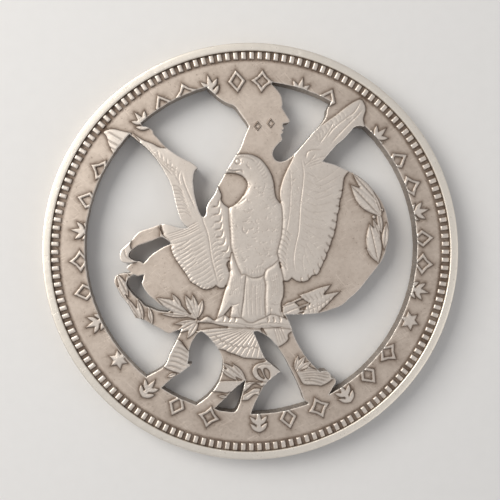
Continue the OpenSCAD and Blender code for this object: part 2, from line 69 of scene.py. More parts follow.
BLANK_LOW, BLANK_HIGH = box_mm("pierced_blank")
EDGE_HIGH = box_mm("reeded_edge")[1]
RIM_HIGH = box_mm("front_rim")[1]
FRONT = float(BLANK_HIGH[2])
BACK = float(BLANK_LOW[2])
FIELD_R = float(BLANK_HIGH[0])
COIN_R = float(EDGE_HIGH[0])
RIM_R = float(RIM_HIGH[0])
COIN_H = float(RIM_HIGH[2])
DENTICLE_H = float(box_mm("front_denticles")[1][2]) - FRONT

DEVICES = [
    "border_marks_left", "border_marks_top", "border_marks_right", "border_marks_bottom",
    "left_star", "right_star", "motto_lozenges", "eagle_head", "eagle_breast", "left_wing",
    "left_wing_tip", "right_wing", "left_leg", "right_leg", "tail", "tail_fan",
    "perch_branch", "olive_leaves", "arrow_feathers", "arrow_shafts", "wreath_right",
    "wreath_claws", "wreath_lower_left", "wreath_lower_middle", "bow_loop", "ribbon",
    "wreath_lower_right",
]
BACK_DEVICES = ["back_stars", "back_laurel"]

# Name of each face, which way it looks along Z and the height of its field
COIN_FACES = (("front", 1, FRONT), ("back", -1, BACK))


# ---- Settings ----

def size_mm(name, description, default, low, high):
    """A length in millimetres that the user may change."""
    return bpy.props.FloatProperty(
        name=name, description=description, default=default, min=low, max=high, precision=3)


def tint(name, description, default):
    """A colour that the user may change."""
    return bpy.props.FloatVectorProperty(
        name=name, description=description, default=default, size=3, min=0.0, max=1.0,
        subtype="COLOR")


def share(name, description, default):
    """A share from 0 to 1 that the user may change."""
    return bpy.props.FloatProperty(
        name=name, description=description, default=default, min=0.0, max=1.0,
        subtype="FACTOR")


class CoinShape(bpy.types.PropertyGroup):
    """Sizes of the struck and sawn surfaces, in millimetres."""
    device_step: size_mm("Device mesh", "Spacing of the points on a device", 0.06, 0.04, 0.3)
    field_step: size_mm("Field mesh", "Spacing of the points on a field", 0.17, 0.1, 0.5)
    saw_bevel: size_mm("Saw burr", "Width of the bright burr along a sawn edge", 0.03, 0.01, 0.1)
    saw_wander: size_mm("Saw wander", "How far the saw strays from its line", 0.022, 0.0, 0.05)
    seam_width: size_mm("Seam width", "Width of the crease between two devices", 0.2, 0.05, 0.4)
    seam_drop: share("Seam drop", "How deep the crease between two devices is", 0.24)
    unevenness: size_mm("Unevenness", "Height of the slow waves of a worn surface", 0.008, 0.0, 0.03)
    reeds: bpy.props.IntProperty(
        name="Reeds", description="Number of reeds around the edge", default=188, min=40, max=240)
    denticles: bpy.props.IntProperty(
        name="Denticles", description="Number of denticles on each face", default=152,
        min=40, max=200)


class CoinFinish(bpy.types.PropertyGroup):
    """Colours of the metal, from bare silver to the darkest tarnish."""
    bare: tint("Bare silver", "Silver that the saw has just cut", (0.93, 0.90, 0.84))
    worn: tint("Worn silver", "Raised silver that hands have rubbed clean", (0.81, 0.73, 0.645))
    rim: tint("Rim silver", "Silver of the worn rim", (1.0, 0.925, 0.81))
    field: tint("Field silver", "Toned silver of the field", (0.725, 0.627, 0.535))
    wall: tint("Sawn wall", "Silver of the sawn walls", (0.50, 0.45, 0.40))
    # This brown also paints the shade on the field beside the devices
    tarnish_and_shade: tint("Tarnish", "Brown tarnish in the hollows", (0.17, 0.118, 0.085))
    gloss: share("Roughness", "Roughness of the worn silver", 0.47)
    scratches: share("Scratches", "Strength of the fine scratches", 0.2)


class CoinStage(bpy.types.PropertyGroup):
    """The floor, the lights and the camera."""
    floor: tint("Floor", "Colour of the pale floor", (0.72, 0.71, 0.69))
    camera_at: bpy.props.FloatVectorProperty(
        name="Camera", description="Place of the camera over the coin", size=3,
        default=(-0.006, 0.0015, 0.082), subtype="TRANSLATION")
    aim_at: bpy.props.FloatVectorProperty(
        name="Aim", description="Point that the camera looks at", size=3,
        default=(-0.00352, 0.00018, 0.0022), subtype="TRANSLATION")
    lens: bpy.props.FloatProperty(
        name="Lens", description="Focal length of the camera in millimetres", default=63.05,
        min=20.0, max=200.0)
    shift: bpy.props.FloatProperty(
        name="Shift", description="Sideways shift of the lens, as a share of the frame",
        default=0.074, min=-0.1, max=0.1)
    key_power: bpy.props.FloatProperty(
        name="Window light", description="Power of the large soft light", default=0.58,
        min=0.0, max=20.0, unit="POWER")
    fill_power: bpy.props.FloatProperty(
        name="Fill light", description="Power of the weak fill light", default=0.12,
        min=0.0, max=20.0, unit="POWER")
    sky: bpy.props.FloatProperty(
        name="Sky", description="Strength of the even light", default=0.42, min=0.0, max=5.0)


# ---- Lines and outlines, in millimetres ----

CURVE_STEP = 0.04
PLUME_SEED = 7
LEVEL_TOLERANCE = 0.002
POINT_DECIMALS = 3


def curve(points):
    """Points along a smooth open curve through the points given."""
    given = np.array(points, float)
    padded = np.vstack([2 * given[0] - given[1], given, 2 * given[-1] - given[-2]])
    out = []
    for a, b, c, d in zip(padded, padded[1:], padded[2:], padded[3:]):
        count = max(2, math.ceil(np.linalg.norm(c - b) / CURVE_STEP))
        t = np.arange(count)[:, None] / count
        out.append(0.5 * (2 * b + (c - a) * t + (2 * a - 5 * b + 4 * c - d) * t * t
                          + (3 * b - a - 3 * c + d) * t ** 3))
    return np.vstack(out + [given[-1:]])


def stroke(points, width, depth):
    """An engraved line: its points, and its width and depth at each, fading at both ends.
    A negative depth raises a ridge."""
    line = curve(points)
    along = np.linspace(0, 1, len(line))
    fade = np.clip(6 * np.minimum(along, 1 - along) + 0.25, 0, 1)
    return np.column_stack([line, np.full(len(line), width), depth * fade])


def moved(line, across, up):
    """The points of a line, all moved by the same distances."""
    return [(x + across, y + up) for x, y in line]


def pick(line, share_along):
    """The point at a share of a curve's length."""
    return line[int(round(share_along * (len(line) - 1)))]


def between(start_line, end_line, count, bow=0.0, **style):
    """Strokes that run from one curve to another, evenly spaced and bowed to one side."""
    first, last = curve(start_line), curve(end_line)
    strokes = []
    for t in (np.arange(count) + 0.5) / count:
        a, b = pick(first, t), pick(last, t)
        side = np.array([a[1] - b[1], b[0] - a[0]])
        strokes.append(stroke([a, (a + b) / 2 + bow * side, b], **style))
    return strokes


def scallops(line, count, bulge, **style):
    """A row of rounded feather ends along a curve, bulging to its right."""
    along = curve(line)
    strokes = []
    for i in range(count):
        a, b = pick(along, i / count), pick(along, (i + 1) / count)
        side = np.array([b[1] - a[1], a[0] - b[0]])
        strokes.append(stroke(
            [a, a + 0.25 * (b - a) + 0.8 * bulge * side, a + 0.7 * (b - a) + bulge * side, b],
            **style))
    return strokes


def plumes(start_line, end_line, rows, across, size, **style):
    """Small worn feathers scattered between two curves: short bowed marks, some rubbed away.
    Every row has the same number across, and size is the length of a mark."""
    first, last = curve(start_line), curve(end_line)
    # noise_vector takes its offsets from the seed, which otherwise comes from the clock
    noise.seed_set(PLUME_SEED)
    strokes = []
    for row in range(rows):
        a, b = pick(first, (row + 0.5) / rows), pick(last, (row + 0.5) / rows)
        for i in range(across):
            place = (row * 1.37 + 0.4, i * 1.91 + 0.7, size)
            if noise.noise(place) < -0.12:
                continue
            drift = np.array(noise.noise_vector(place)[:2])
            middle = a + (b - a) * (i + 0.3 + 0.4 * (row % 2)) / across + 2.2 * size * drift
            tilt = 2.6 * noise.noise((place[1], place[0], size + 3.0))
            run = 0.5 * size * (1 + drift[0]) * np.array([math.cos(tilt), math.sin(tilt)])
            strokes.append(stroke([middle - run, middle + 0.5 * np.array([run[1], -run[0]]), middle + run],
                                  **style))
    return strokes


def divided(loop, step):
    """A closed outline with its long sides divided, so that none is longer than step."""
    out = []
    for a, b in zip(loop, np.roll(loop, -1, axis=0)):
        parts = max(1, math.ceil(np.linalg.norm(b - a) / step))
        out.append(a + (b - a) * np.arange(parts)[:, None] / parts)
    return np.concatenate(out)


def inset(loop, distance):
    """The points of a closed outline, moved inwards by a distance."""
    run = np.roll(loop, -1, axis=0) - np.roll(loop, 1, axis=0)
    inwards = np.column_stack([-run[:, 1], run[:, 0]])
    return loop + distance * inwards / np.maximum(np.linalg.norm(inwards, axis=1), 1e-9)[:, None]


def outline_sides(loops):
    """Start and end points of every side of closed outlines."""
    return np.concatenate(loops), np.concatenate([np.roll(loop, -1, axis=0) for loop in loops])


def directed_sides(triangles):
    """Every side of every triangle as a pair, in the direction that the triangle turns."""
    return (pair for t in triangles.tolist() for pair in zip(t, t[1:] + t[:1]))


def face_loops(node, height):
    """Outlines of the flat face that a CAD node has at a height, with metal on their left."""
    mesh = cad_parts[node].data
    mesh.calc_loop_triangles()
    corners = np.empty(len(mesh.vertices) * 3, np.float32)
    mesh.vertices.foreach_get("co", corners)
    corners = corners.reshape(-1, 3) / MM
    triangles = np.empty(len(mesh.loop_triangles) * 3, np.int32)
    mesh.loop_triangles.foreach_get("vertices", triangles)
    triangles = triangles.reshape(-1, 3)
    level = (np.abs(corners[triangles][:, :, 2] - height) < LEVEL_TOLERANCE).all(axis=1)
    points, same = np.unique(np.round(corners[:, :2], POINT_DECIMALS), axis=0, return_inverse=True)
    triangles = same.reshape(-1)[triangles[level]]
    a, b, c = (points[triangles[:, i]] for i in range(3))
    turn = (b[:, 0] - a[:, 0]) * (c[:, 1] - a[:, 1]) - (b[:, 1] - a[:, 1]) * (c[:, 0] - a[:, 0])
    if turn.sum() < 0:
        triangles = triangles[:, ::-1]
    sides = Counter(directed_sides(triangles))
    after = {}
    for i, j in sorted(sides):
        for _ in range(sides[i, j] - sides[j, i]):
            after.setdefault(i, []).append(j)
    loops = []
    while after:
        loop = [next(iter(after))]
        while True:
            there = after[loop[-1]].pop()
            if not after[loop[-1]]:
                del after[loop[-1]]
            if there == loop[0]:
                break
            loop.append(there)
        if len(loop) > 2:
            loops.append(points[loop])
    return loops


def level_of(node):
    """Height of the face that a device shows: its top, or its lowest face on the back."""
    low, high = box_mm(node)
    return float(low[2]) if node in BACK_DEVICES else float(high[2])


def nearest(points, samples):
    """Distance from each point to the nearest sample, and which sample that is.
    Without samples, every distance is FAR."""
    if len(samples) == 0:
        return np.full(len(points), FAR), np.zeros(len(points), int)
    tree = KDTree(len(samples))
    for i, (x, y) in enumerate(samples):
        tree.insert((x, y, 0), i)
    tree.balance()
    found = [tree.find((x, y, 0))[1:] for x, y in points]
    return np.array([f[1] for f in found]), np.array([f[0] for f in found])


def waves(points, size, seed):
    """Smooth noise from about -1 to 1 at each point, with waves of a size in millimetres."""
    return np.array([noise.noise((x / size, y / size, seed)) for x, y in points])


def rounded(share_in):
    """Rise of a rounded shoulder, from 0 at the edge to 1 at its full width."""
    return np.sqrt(np.clip(1 - (1 - np.clip(share_in, 0, 1)) ** 2, 0, 1))


def fades(distance, width):
    """1 at a line, falling smoothly to 0 beyond a width."""
    return np.exp(-(distance / width) ** 2)


def ramp(value, low, high):
    """Smooth step from 0 below low to 1 above high."""
    t = np.clip((value - low) / (high - low), 0, 1)
    return t * t * (3 - 2 * t)


# ---- Where the saw went and which devices meet ----

SAMPLE_STEP = 0.05
TOUCHING = 0.03
WITHIN_FIELD = 0.5
SAW_REACH = 0.12
LONG_STRAY, SHORT_STRAY = 0.42, 0.17
SHORT_SHARE = 0.6


def outline_samples(loops, step=SAMPLE_STEP):
    """Close points along all of a piece's outlines."""
    return np.concatenate([divided(loop, step) for loop in loops])


BLANK_LOOPS = face_loops("pierced_blank", FRONT)
SAWN_LOOPS = [loop for loop in BLANK_LOOPS if np.hypot(*loop.T).min() < FIELD_R - WITHIN_FIELD]
SAWN_SAMPLES = outline_samples(SAWN_LOOPS)
DEVICE_LOOPS = {node: face_loops(node, level_of(node)) for node in DEVICES + BACK_DEVICES}
DEVICE_SAMPLES = {node: outline_samples(loops) for node, loops in DEVICE_LOOPS.items()}


def sawn(points, shape):
    """Points near a sawn edge, moved a little as the saw blade strayed."""
    pull = shape.saw_wander * fades(nearest(points, SAWN_SAMPLES)[0], SAW_REACH)
    stray = np.column_stack([
        waves(points, LONG_STRAY, long_seed) + SHORT_SHARE * waves(points, SHORT_STRAY, short_seed)
        for long_seed, short_seed in ((3.1, 8.4), (5.7, 2.2))])
    return points + pull[:, None] * stray


class Shores:
    """A device's outline, sorted into free edges, sawn edges and seams with other devices."""

    def __init__(self, node, continues):
        """Sort the outline of node; continues names the devices that it flows into."""
        samples = DEVICE_SAMPLES[node]
        group = BACK_DEVICES if node in BACK_DEVICES else DEVICES
        others = [DEVICE_SAMPLES[name] for name in group if name not in (node, *continues)]
        same = [DEVICE_SAMPLES[name] for name in continues]
        is_cut = nearest(samples, SAWN_SAMPLES)[0] < TOUCHING
        meets = nearest(samples, np.concatenate(others))[0] < TOUCHING
        flows = np.zeros(len(samples), bool)
        if same:
            flows = nearest(samples, np.concatenate(same))[0] < TOUCHING
        self.cut = samples[is_cut]
        self.seam = samples[meets & ~is_cut & ~flows]
        self.free = samples[~meets & ~is_cut & ~flows]


# ---- Meshes ----

GRID_CLEARANCE = 0.5
RING_CLEARANCE = 0.9
MERGE_DISTANCE = 1e-6
SHARP_ANGLE = math.radians(50)


def triangulated(loops, step, rings):
    """Points and triangles that fill outlines: the outlines, rings of points just inside them
    and an even grid of points further in."""
    borders = [divided(loop, step) for loop in loops]
    samples = outline_samples(loops, step / 2)
    extra = [np.concatenate([inset(loop, ring) for loop in borders]) for ring in rings]
    grid = grid_points(loops, step)
    fills = []
    for ring, points in zip(rings, extra):
        clear = points[nearest(points, samples)[0] > RING_CLEARANCE * ring]
        fills.append(clear[inside(clear, loops)])
    fills.append(grid[nearest(grid, samples)[0] > max(rings) + GRID_CLEARANCE * step])
    points = np.concatenate(borders + fills)
    sides = []
    start = 0
    for border in borders:
        count = len(border)
        sides += [(start + i, start + (i + 1) % count) for i in range(count)]
        start += count
    found = delaunay_2d_cdt([Vector(p) for p in points], sides, [], 0, MERGE_DISTANCE, True)
    flat = np.array([(v.x, v.y) for v in found[0]])
    triangles = np.array([list(f) for f in found[2]])
    on_border = np.array([min(came_from) < len(sides) for came_from in found[3]])
    doubtful = on_border[triangles].all(axis=1)
    keep = ~doubtful
    keep[doubtful] = inside(flat[triangles[doubtful]].mean(axis=1), loops)
    return flat, triangles[keep]


def inside(points, loops):
    """Whether each point lies inside outlines, by counting the sides to its right."""
    a, b = outline_sides(loops)
    run = b - a
    slope = run[:, 0] / np.where(run[:, 1] == 0, 1, run[:, 1])
    x, y = points[:, :1], points[:, 1:]
    across = (a[:, 1] > y) != (b[:, 1] > y)
    return (across & (x < a[:, 0] + (y - a[:, 1]) * slope)).sum(axis=1) % 2 == 1


def grid_points(loops, step):
    """Points of an even triangular grid that lie inside outlines."""
    a, b = outline_sides(loops)
    low, high = a.min(axis=0), a.max(axis=0)
    out = []
    for row, y in enumerate(np.arange(low[1] + 0.37 * step, high[1], step * math.sqrt(0.75))):
        across = (a[:, 1] > y) != (b[:, 1] > y)
        p, q = a[across], b[across]
        crossings = np.sort(p[:, 0] + (y - p[:, 1]) * (q[:, 0] - p[:, 0]) / (q[:, 1] - p[:, 1]))
        xs = np.arange(low[0] + 0.5 * step * (row % 2), high[0], step)
        xs = xs[np.searchsorted(crossings, xs) % 2 == 1]
        out.append(np.column_stack([xs, np.full(len(xs), y)]))
    return np.concatenate(out)


def border_sides(triangles):
    """Directed sides of the triangles that no other triangle shares."""
    sides = set(directed_sides(triangles))
    return [(i, j) for i, j in sorted(sides) if (j, i) not in sides]


def closed_solid(flat, triangles, top, floor, wall_levels=()):
    """Vertices and faces of a closed solid: a top surface, a floor and walls between them.
    wall_levels are shares of the wall's height that get a row of points each."""
    count = len(flat)
    vertices = [np.column_stack([flat, top]), np.column_stack([flat, floor])]
    faces = [tuple(t) for t in triangles.tolist()]
    faces += [tuple(i + count for i in t[::-1]) for t in triangles.tolist()]
    sides = border_sides(triangles)
    border = sorted({i for side in sides for i in side})
    rows = [{i: i for i in border}]
    start = 2 * count
    for level in wall_levels:
        z = top[border] + level * (floor[border] - top[border])
        vertices.append(np.column_stack([flat[border], z]))
        rows.append({i: start + k for k, i in enumerate(border)})
        start += len(border)
    rows.append({i: i + count for i in border})
    walls = len(faces)
    for upper, lower in zip(rows, rows[1:]):
        faces += [(upper[j], upper[i], lower[i], lower[j]) for i, j in sides]
    return np.vstack(vertices), faces, walls


def facing(faces, side):
    """Faces made for the front, turned over where side is -1 for the back."""
    return faces if side > 0 else [face[::-1] for face in faces]


def piece(name, vertices, faces, nodes, materials, marks, walls=None):
    """A mesh object in metres that rides on the coin and stands for its CAD nodes.
    marks are values from 0 to 1 at the vertices, and faces from walls on have material 1."""
    mesh = bpy.data.meshes.new(name)
    mesh.from_pydata((vertices * MM).tolist(), [], faces)
    for material in materials:
        mesh.materials.append(material)
    for key, values in marks.items():
        layer = mesh.attributes.new(key, "FLOAT", "POINT")
        padded = np.zeros(len(vertices), np.float32)
        padded[:len(values)] = values
        layer.data.foreach_set("value", padded)
    if walls is not None:
        index = np.zeros(len(faces), np.int32)
        index[walls:] = len(materials) - 1
        mesh.polygons.foreach_set("material_index", index)
    mesh.shade_smooth()
    mesh.validate()
    mesh.set_sharp_from_angle(angle=SHARP_ANGLE)
    made = bpy.data.objects.new(name, mesh)
    bpy.context.scene.collection.objects.link(made)
    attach(made, BODY)
    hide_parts(*nodes)


def lathe(profile, section_at, segments):
    """A closed ring from a closed profile of (radius, height, share) points.
    section_at takes the profile and an angle and gives the radii and heights there."""
    profile = np.array(profile, float)
    rows = []
    for angle in np.arange(segments) * 2 * math.pi / segments:
        r, z = section_at(profile, angle)
        rows.append(np.column_stack([r * math.cos(angle), r * math.sin(angle), z]))
    n = len(profile)
    faces = []
    for i in range(segments):
        a, b = i * n, (i + 1) % segments * n
        faces += [(a + k, b + k, b + (k + 1) % n, a + (k + 1) % n) for k in range(n)]
    return np.vstack(rows), faces


# ---- Materials ----

def shader_node(tree, kind, settings=None, **inputs):
    """A node with its settings, and its inputs given as values or as other nodes' outputs."""
    made = tree.nodes.new(kind)
    for key, value in (settings or {}).items():
        setattr(made, key, value)
    for key, value in inputs.items():
        socket = made.inputs[int(key[1:])] if key[1:].isdigit() else made.inputs[key.replace("_", " ")]
        if isinstance(value, bpy.types.NodeSocket):
            tree.links.new(value, socket)
        else:
            socket.default_value = value
    return made


def spots(tree, where, scale, low, high, detail=3.0):
    """Noise that is 0 below one level and 1 above another."""
    clouds = shader_node(tree, "ShaderNodeTexNoise", Vector=where, Scale=scale, Detail=detail)
    return shader_node(tree, "ShaderNodeMapRange", {"interpolation_type": "SMOOTHSTEP"},
                       Value=clouds.outputs["Fac"], From_Min=low, From_Max=high).outputs[0]


def scratch_lines(tree, where, turn, scale, low):
    """Thin, nearly straight scratches at an angle in degrees, broken up into short lengths.
    low is the level of the noise that starts a scratch, so a higher one leaves fewer."""
    turned = shader_node(tree, "ShaderNodeMapping", {"vector_type": "TEXTURE"}, Vector=where,
                         Rotation=(0, 0, math.radians(turn)), Scale=(1.1, 0.09, 1.0))
    lines = spots(tree, turned.outputs[0], scale, low, low + 0.06, detail=1.5)
    broken = spots(tree, where, 0.8, 0.48, 0.62)
    return combined(tree, "MULTIPLY", lines, broken)


def combined(tree, operation, a, b, clamp=True):
    """Result of a math operation on two values or outputs."""
    return shader_node(tree, "ShaderNodeMath", {"operation": operation, "use_clamp": clamp},
                       _0=a, _1=b).outputs[0]


def blended(tree, amount, a, b):
    """Colour a at 0 and colour b at 1."""
    mix = shader_node(tree, "ShaderNodeMix", {"data_type": "RGBA"}, _0=amount, _6=a, _7=b)
    return mix.outputs[2]


def attribute(tree, name):
    """Value that the mesh carries at each vertex."""
    return shader_node(tree, "ShaderNodeAttribute", {"attribute_name": name}).outputs["Fac"]


def scaled(tree, value, weight):
    """A value or output times a weight."""
    return combined(tree, "MULTIPLY", value, weight)


def metal(name):
    """A new metallic material, with its node tree and shader."""
    material, tree, shader = plain_material(name)
    shader.inputs["Metallic"].default_value = 1.0
    return material, tree, shader


def plain_material(name):
    """A new material, with its node tree and shader."""
    material = bpy.data.materials.new(name)
    material.use_nodes = True
    return material, material.node_tree, material.node_tree.nodes["Principled BSDF"]


def in_millimetres(tree, through=1.0):
    """Places on the coin in millimetres; through squeezes or stretches them along its thickness."""
    where = shader_node(tree, "ShaderNodeTexCoord").outputs["Object"]
    return shader_node(tree, "ShaderNodeMapping", Vector=where,
                       Scale=(1 / MM, 1 / MM, through / MM)).outputs[0]


def finished(tree, shader, tone, rough, height, strength, distance):
    """Joins a colour, a roughness and a bump to the shader. height is the bump's pattern, and
    distance is how far a height of 1 stands up, in millimetres."""
    bump = shader_node(tree, "ShaderNodeBump", Height=height, Strength=strength, Distance=distance * MM)
    tree.links.new(tone, shader.inputs["Base Color"])
    tree.links.new(rough, shader.inputs["Roughness"])
    tree.links.new(bump.outputs[0], shader.inputs["Normal"])


# How much each mark of age darkens the silver, or lightens it for a scratch
MOTTLE_SHARE = 0.8
UNEVEN_WEIGHT = 0.75
SPECK_WEIGHT = 0.28
SCRATCH_WEIGHT = 0.16
# Roughness of the saw's fresh cut, what full tarnish adds, and heights of the bump's grain and pits
BARE_ROUGHNESS = 0.3
TARNISH_ROUGHNESS = 0.22
GRAIN = 0.34
PIT = 0.4


def silver(name, clean, finish, toning, roughness):
    """Struck silver: clean where it is worn, brown where tarnish stayed and where painted shade lies on the
    field beside the devices, bare at the saw's burr.
    """
    material, tree, shader = metal(name)
    place = in_millimetres(tree)
    cloudy = spots(tree, place, 0.55, 0.3, 0.75, detail=4.0)
    mottled = spots(tree, place, 3.2, 0.35, 0.75, detail=6.0)
    specks = spots(tree, place, 4.5, 0.63, 0.70, detail=5.0)
    lines = combined(tree, "MAXIMUM", scratch_lines(tree, place, 28, 0.9, 0.6),
                     scratch_lines(tree, place, -47, 0.7, 0.6))
    bare = attribute(tree, "bare")
    uneven = combined(tree, "ADD", scaled(tree, cloudy, toning),
                      scaled(tree, mottled, toning * MOTTLE_SHARE))
    # The attribute read here holds tarnish and, on the field, painted shade beside the devices
    dark = combined(tree, "ADD", attribute(tree, "tarnish_and_shade"), scaled(tree, uneven, UNEVEN_WEIGHT))
    dark = combined(tree, "ADD", dark, scaled(tree, specks, SPECK_WEIGHT))
    dark = combined(tree, "SUBTRACT", dark, scaled(tree, lines, SCRATCH_WEIGHT))
    tone = blended(tree, dark, (*clean, 1), (*finish.tarnish_and_shade, 1))
    tone = blended(tree, bare, tone, (*finish.bare, 1))
    rough = shader_node(tree, "ShaderNodeMapRange", Value=dark, To_Min=roughness,
                        To_Max=roughness + TARNISH_ROUGHNESS).outputs[0]
    rough = combined(tree, "SUBTRACT", rough, scaled(tree, bare, roughness - BARE_ROUGHNESS))
    fine = shader_node(tree, "ShaderNodeTexNoise", Vector=place, Scale=9.0, Detail=5.0).outputs["Fac"]
    height = combined(tree, "SUBTRACT", scaled(tree, fine, GRAIN),
                      scaled(tree, lines, finish.scratches), clamp=False)
    height = combined(tree, "SUBTRACT", height, scaled(tree, specks, PIT), clamp=False)
    finished(tree, shader, tone, rough, height, 0.55, 0.03)
    return material


def sawn_silver(finish):
    """Sawn wall: silver with fine marks that the blade left through the thickness."""
    material, tree, shader = metal("sawn_wall")
    place = in_millimetres(tree, through=0.12)
    marks = shader_node(tree, "ShaderNodeTexNoise", Vector=place, Scale=6.5, Detail=5.0).outputs["Fac"]
    stain = spots(tree, place, 0.8, 0.35, 0.7)
    dark = scaled(tree, combined(tree, "ADD", stain, marks), 0.42)
    tone = blended(tree, dark, (*finish.wall, 1), (*finish.tarnish_and_shade, 1))
    rough = shader_node(tree, "ShaderNodeMapRange", Value=marks, To_Min=0.38, To_Max=0.62).outputs[0]
    finished(tree, shader, tone, rough, marks, 0.7, 0.06)
    return material


def finish_named(name):
    """A finish by its name, made when it is first asked for."""
    finish = bpy.context.scene.coin_finish
    if name in bpy.data.materials:
        return bpy.data.materials[name]
    if name == "sawn_wall":
        return sawn_silver(finish)
    clean, toning, extra = {
        "toned_field": (finish.field, 0.22, 0.05),
        "worn_relief": (finish.worn, 0.14, 0.0),
        "worn_denticles": (finish.worn, 0.16, 0.0),
        "worn_rim": (finish.rim, 0.06, -0.05),
        "toned_back": (finish.worn, 0.24, 0.02),
    }[name]
    return silver(name, clean, finish, toning=toning, roughness=finish.gloss + extra)


# ---- Struck devices ----

SINK = 0.06
FREE_RINGS = (0.03, 0.075, 0.13)
FIELD_RINGS = (0.05, 0.12)
RIB_SPACING = 0.42
LEAF_STEP_DOWN = 0.035
DEEPEST_LINE = 0.6
BURR_SHINE, BURR_REACH = 0.4, 0.06


def burr_shine(cut):
    """Bare metal at distances from the sawn edge."""
    return BURR_SHINE * fades(cut, BURR_REACH)


def engraved(points, strokes):
    """Depth of the nearest engraved line at each point."""
    if not strokes:
        return np.zeros(len(points))
    lines = np.vstack(strokes)
    distance, index = nearest(points, lines[:, :2])
    return lines[index, 3] * fades(distance, lines[index, 2])


def leaf_height(points, leaves):
    """Height share and vein tarnish of overlapping leaves, each (base, tip, width).
    A later leaf lies a little lower than the ones before it."""
    best = np.zeros(len(points))
    vein = np.zeros(len(points))
    for order, (base, tip, width) in enumerate(leaves):
        base, run = np.array(base), np.subtract(tip, base)
        length = np.hypot(*run)
        along = ((points - base) @ run) / length ** 2
        across = ((points - base) @ np.array([-run[1], run[0]])) / length
        half = width / 2 * np.sin(math.pi * np.clip(along, 0, 1))
        on_leaf = (np.abs(across) < half) & (along > 0) & (along < 1)
        share_across = np.abs(across) / np.maximum(half, 0.02)
        dome = rounded((1 - share_across) * 1.4) * (0.80 + 0.2 * np.sin(math.pi * along))
        groove = fades(across, 0.07) * ramp(half, 0.08, 0.2)
        ribs = 0.5 + 0.5 * np.cos(2 * math.pi * (length * along - 0.8 * np.abs(across)) / RIB_SPACING)
        height = dome * (1 - 0.05 * ramp(half, 0.15, 0.3) * ribs) - 0.3 * groove
        height = height * (1 - LEAF_STEP_DOWN * order)
        upper = on_leaf & (height > best)
        best[upper] = height[upper]
        vein[upper] = 0.55 * groove[upper] + 0.8 * fades(1 - share_across[upper], 0.16)
    return best, vein


def device(node, rise, strokes=(), leaves=(), continues=(), step=None):
    """Models one device: rise is a list of (share of the height, width of the shoulder).
    strokes and leaves shape its top, continues names devices that it flows into without a
    crease, and step is the spacing of its points where the usual one is too fine."""
    shape = bpy.context.scene.coin_shape
    on_back = node in BACK_DEVICES
    ground = BACK if on_back else FRONT
    full = abs(level_of(node) - ground)
    shores = Shores(node, continues)
    flat, triangles = triangulated(DEVICE_LOOPS[node], step or shape.device_step, FREE_RINGS)
    free = nearest(flat, shores.free)[0]
    seam = nearest(flat, shores.seam)[0]
    cut = nearest(flat, shores.cut)[0]
    height = sum(part * rounded(free / width) for part, width in rise)
    height *= 1 - shape.seam_drop * fades(seam, shape.seam_width)
    tarnish_and_shade = 0.85 * fades(free, 0.10) + 0.55 * fades(seam, 0.08)
    if leaves:
        layered, vein = leaf_height(flat, leaves)
        covered = layered > 0
        height[covered] = np.minimum(height[covered], layered[covered])
        tarnish_and_shade[covered] = np.maximum(tarnish_and_shade[covered], vein[covered])
    lines = engraved(flat, strokes)
    height = full * height - np.minimum(lines, DEEPEST_LINE * full * height)
    height += shape.unevenness * waves(flat, 0.9, 1.5) * ramp(free, 0.05, 0.3)
    height = np.clip(height, 0.0, full)
    height -= np.minimum(shape.saw_bevel * fades(cut, shape.saw_bevel), height)
    tarnish_and_shade = np.clip(tarnish_and_shade + 9.0 * np.clip(lines, 0, 0.08), 0, 1) * (1 - 0.8 * fades(cut, 0.1))
    side = -1 if on_back else 1
    strayed = sawn(flat, shape) if len(shores.cut) else flat
    floor = np.full(len(flat), ground - side * SINK)
    vertices, faces, walls = closed_solid(strayed, triangles, ground + side * height, floor)
    materials = [finish_named("toned_back" if on_back else "worn_relief"), finish_named("sawn_wall")]
    piece(node + "_relief", vertices, facing(faces, side), [node], materials,
          {"tarnish_and_shade": tarnish_and_shade, "bare": burr_shine(cut)}, walls)


def leaf_list(*items):
    """Leaves given as (base x, base y, tip x, tip y, width)."""
    return [((a, b), (c, d), width) for a, b, c, d, width in items]


# ---- The bird's engraved lines ----

def head_lines():
    """Eye, brow, beak and neck feathers."""
    eye, eye_r = np.array([-1.25, 8.25]), 0.24
    ring = [eye + eye_r * np.array([math.cos(a), math.sin(a)])
            for a in np.linspace(0, 2 * math.pi, 9)]
    return [
        stroke(ring, 0.055, 0.05),
        stroke([eye - (0.03, 0), eye + (0.03, 0.02)], 0.07, -0.03),
        stroke([(-1.25, 8.72), (-0.9, 8.83), (-0.2, 8.72), (0.5, 8.35)], 0.07, -0.03),
        stroke([(-1.2, 8.6), (-0.7, 8.65), (-0.1, 8.52), (0.4, 8.2)], 0.06, 0.03),
        stroke([(-2.3, 7.55), (-1.65, 7.35), (-1.0, 7.45), (-0.75, 7.2)], 0.06, 0.05),
        stroke([(-2.2, 7.68), (-1.65, 7.5), (-1.0, 7.58)], 0.06, -0.02),
        stroke([(-2.3, 7.95), (-2.1, 7.75), (-1.95, 7.6)], 0.05, 0.03),
        stroke([(-0.45, 8.0), (-0.35, 7.8), (-0.1, 7.6)], 0.07, 0.03),
        *between([(0.6, 8.4), (1.1, 7.8), (1.6, 6.9)], [(0.3, 8.0), (0.7, 7.3), (1.1, 6.5)], 6,
                 bow=0.12, width=0.06, depth=0.014),
    ]


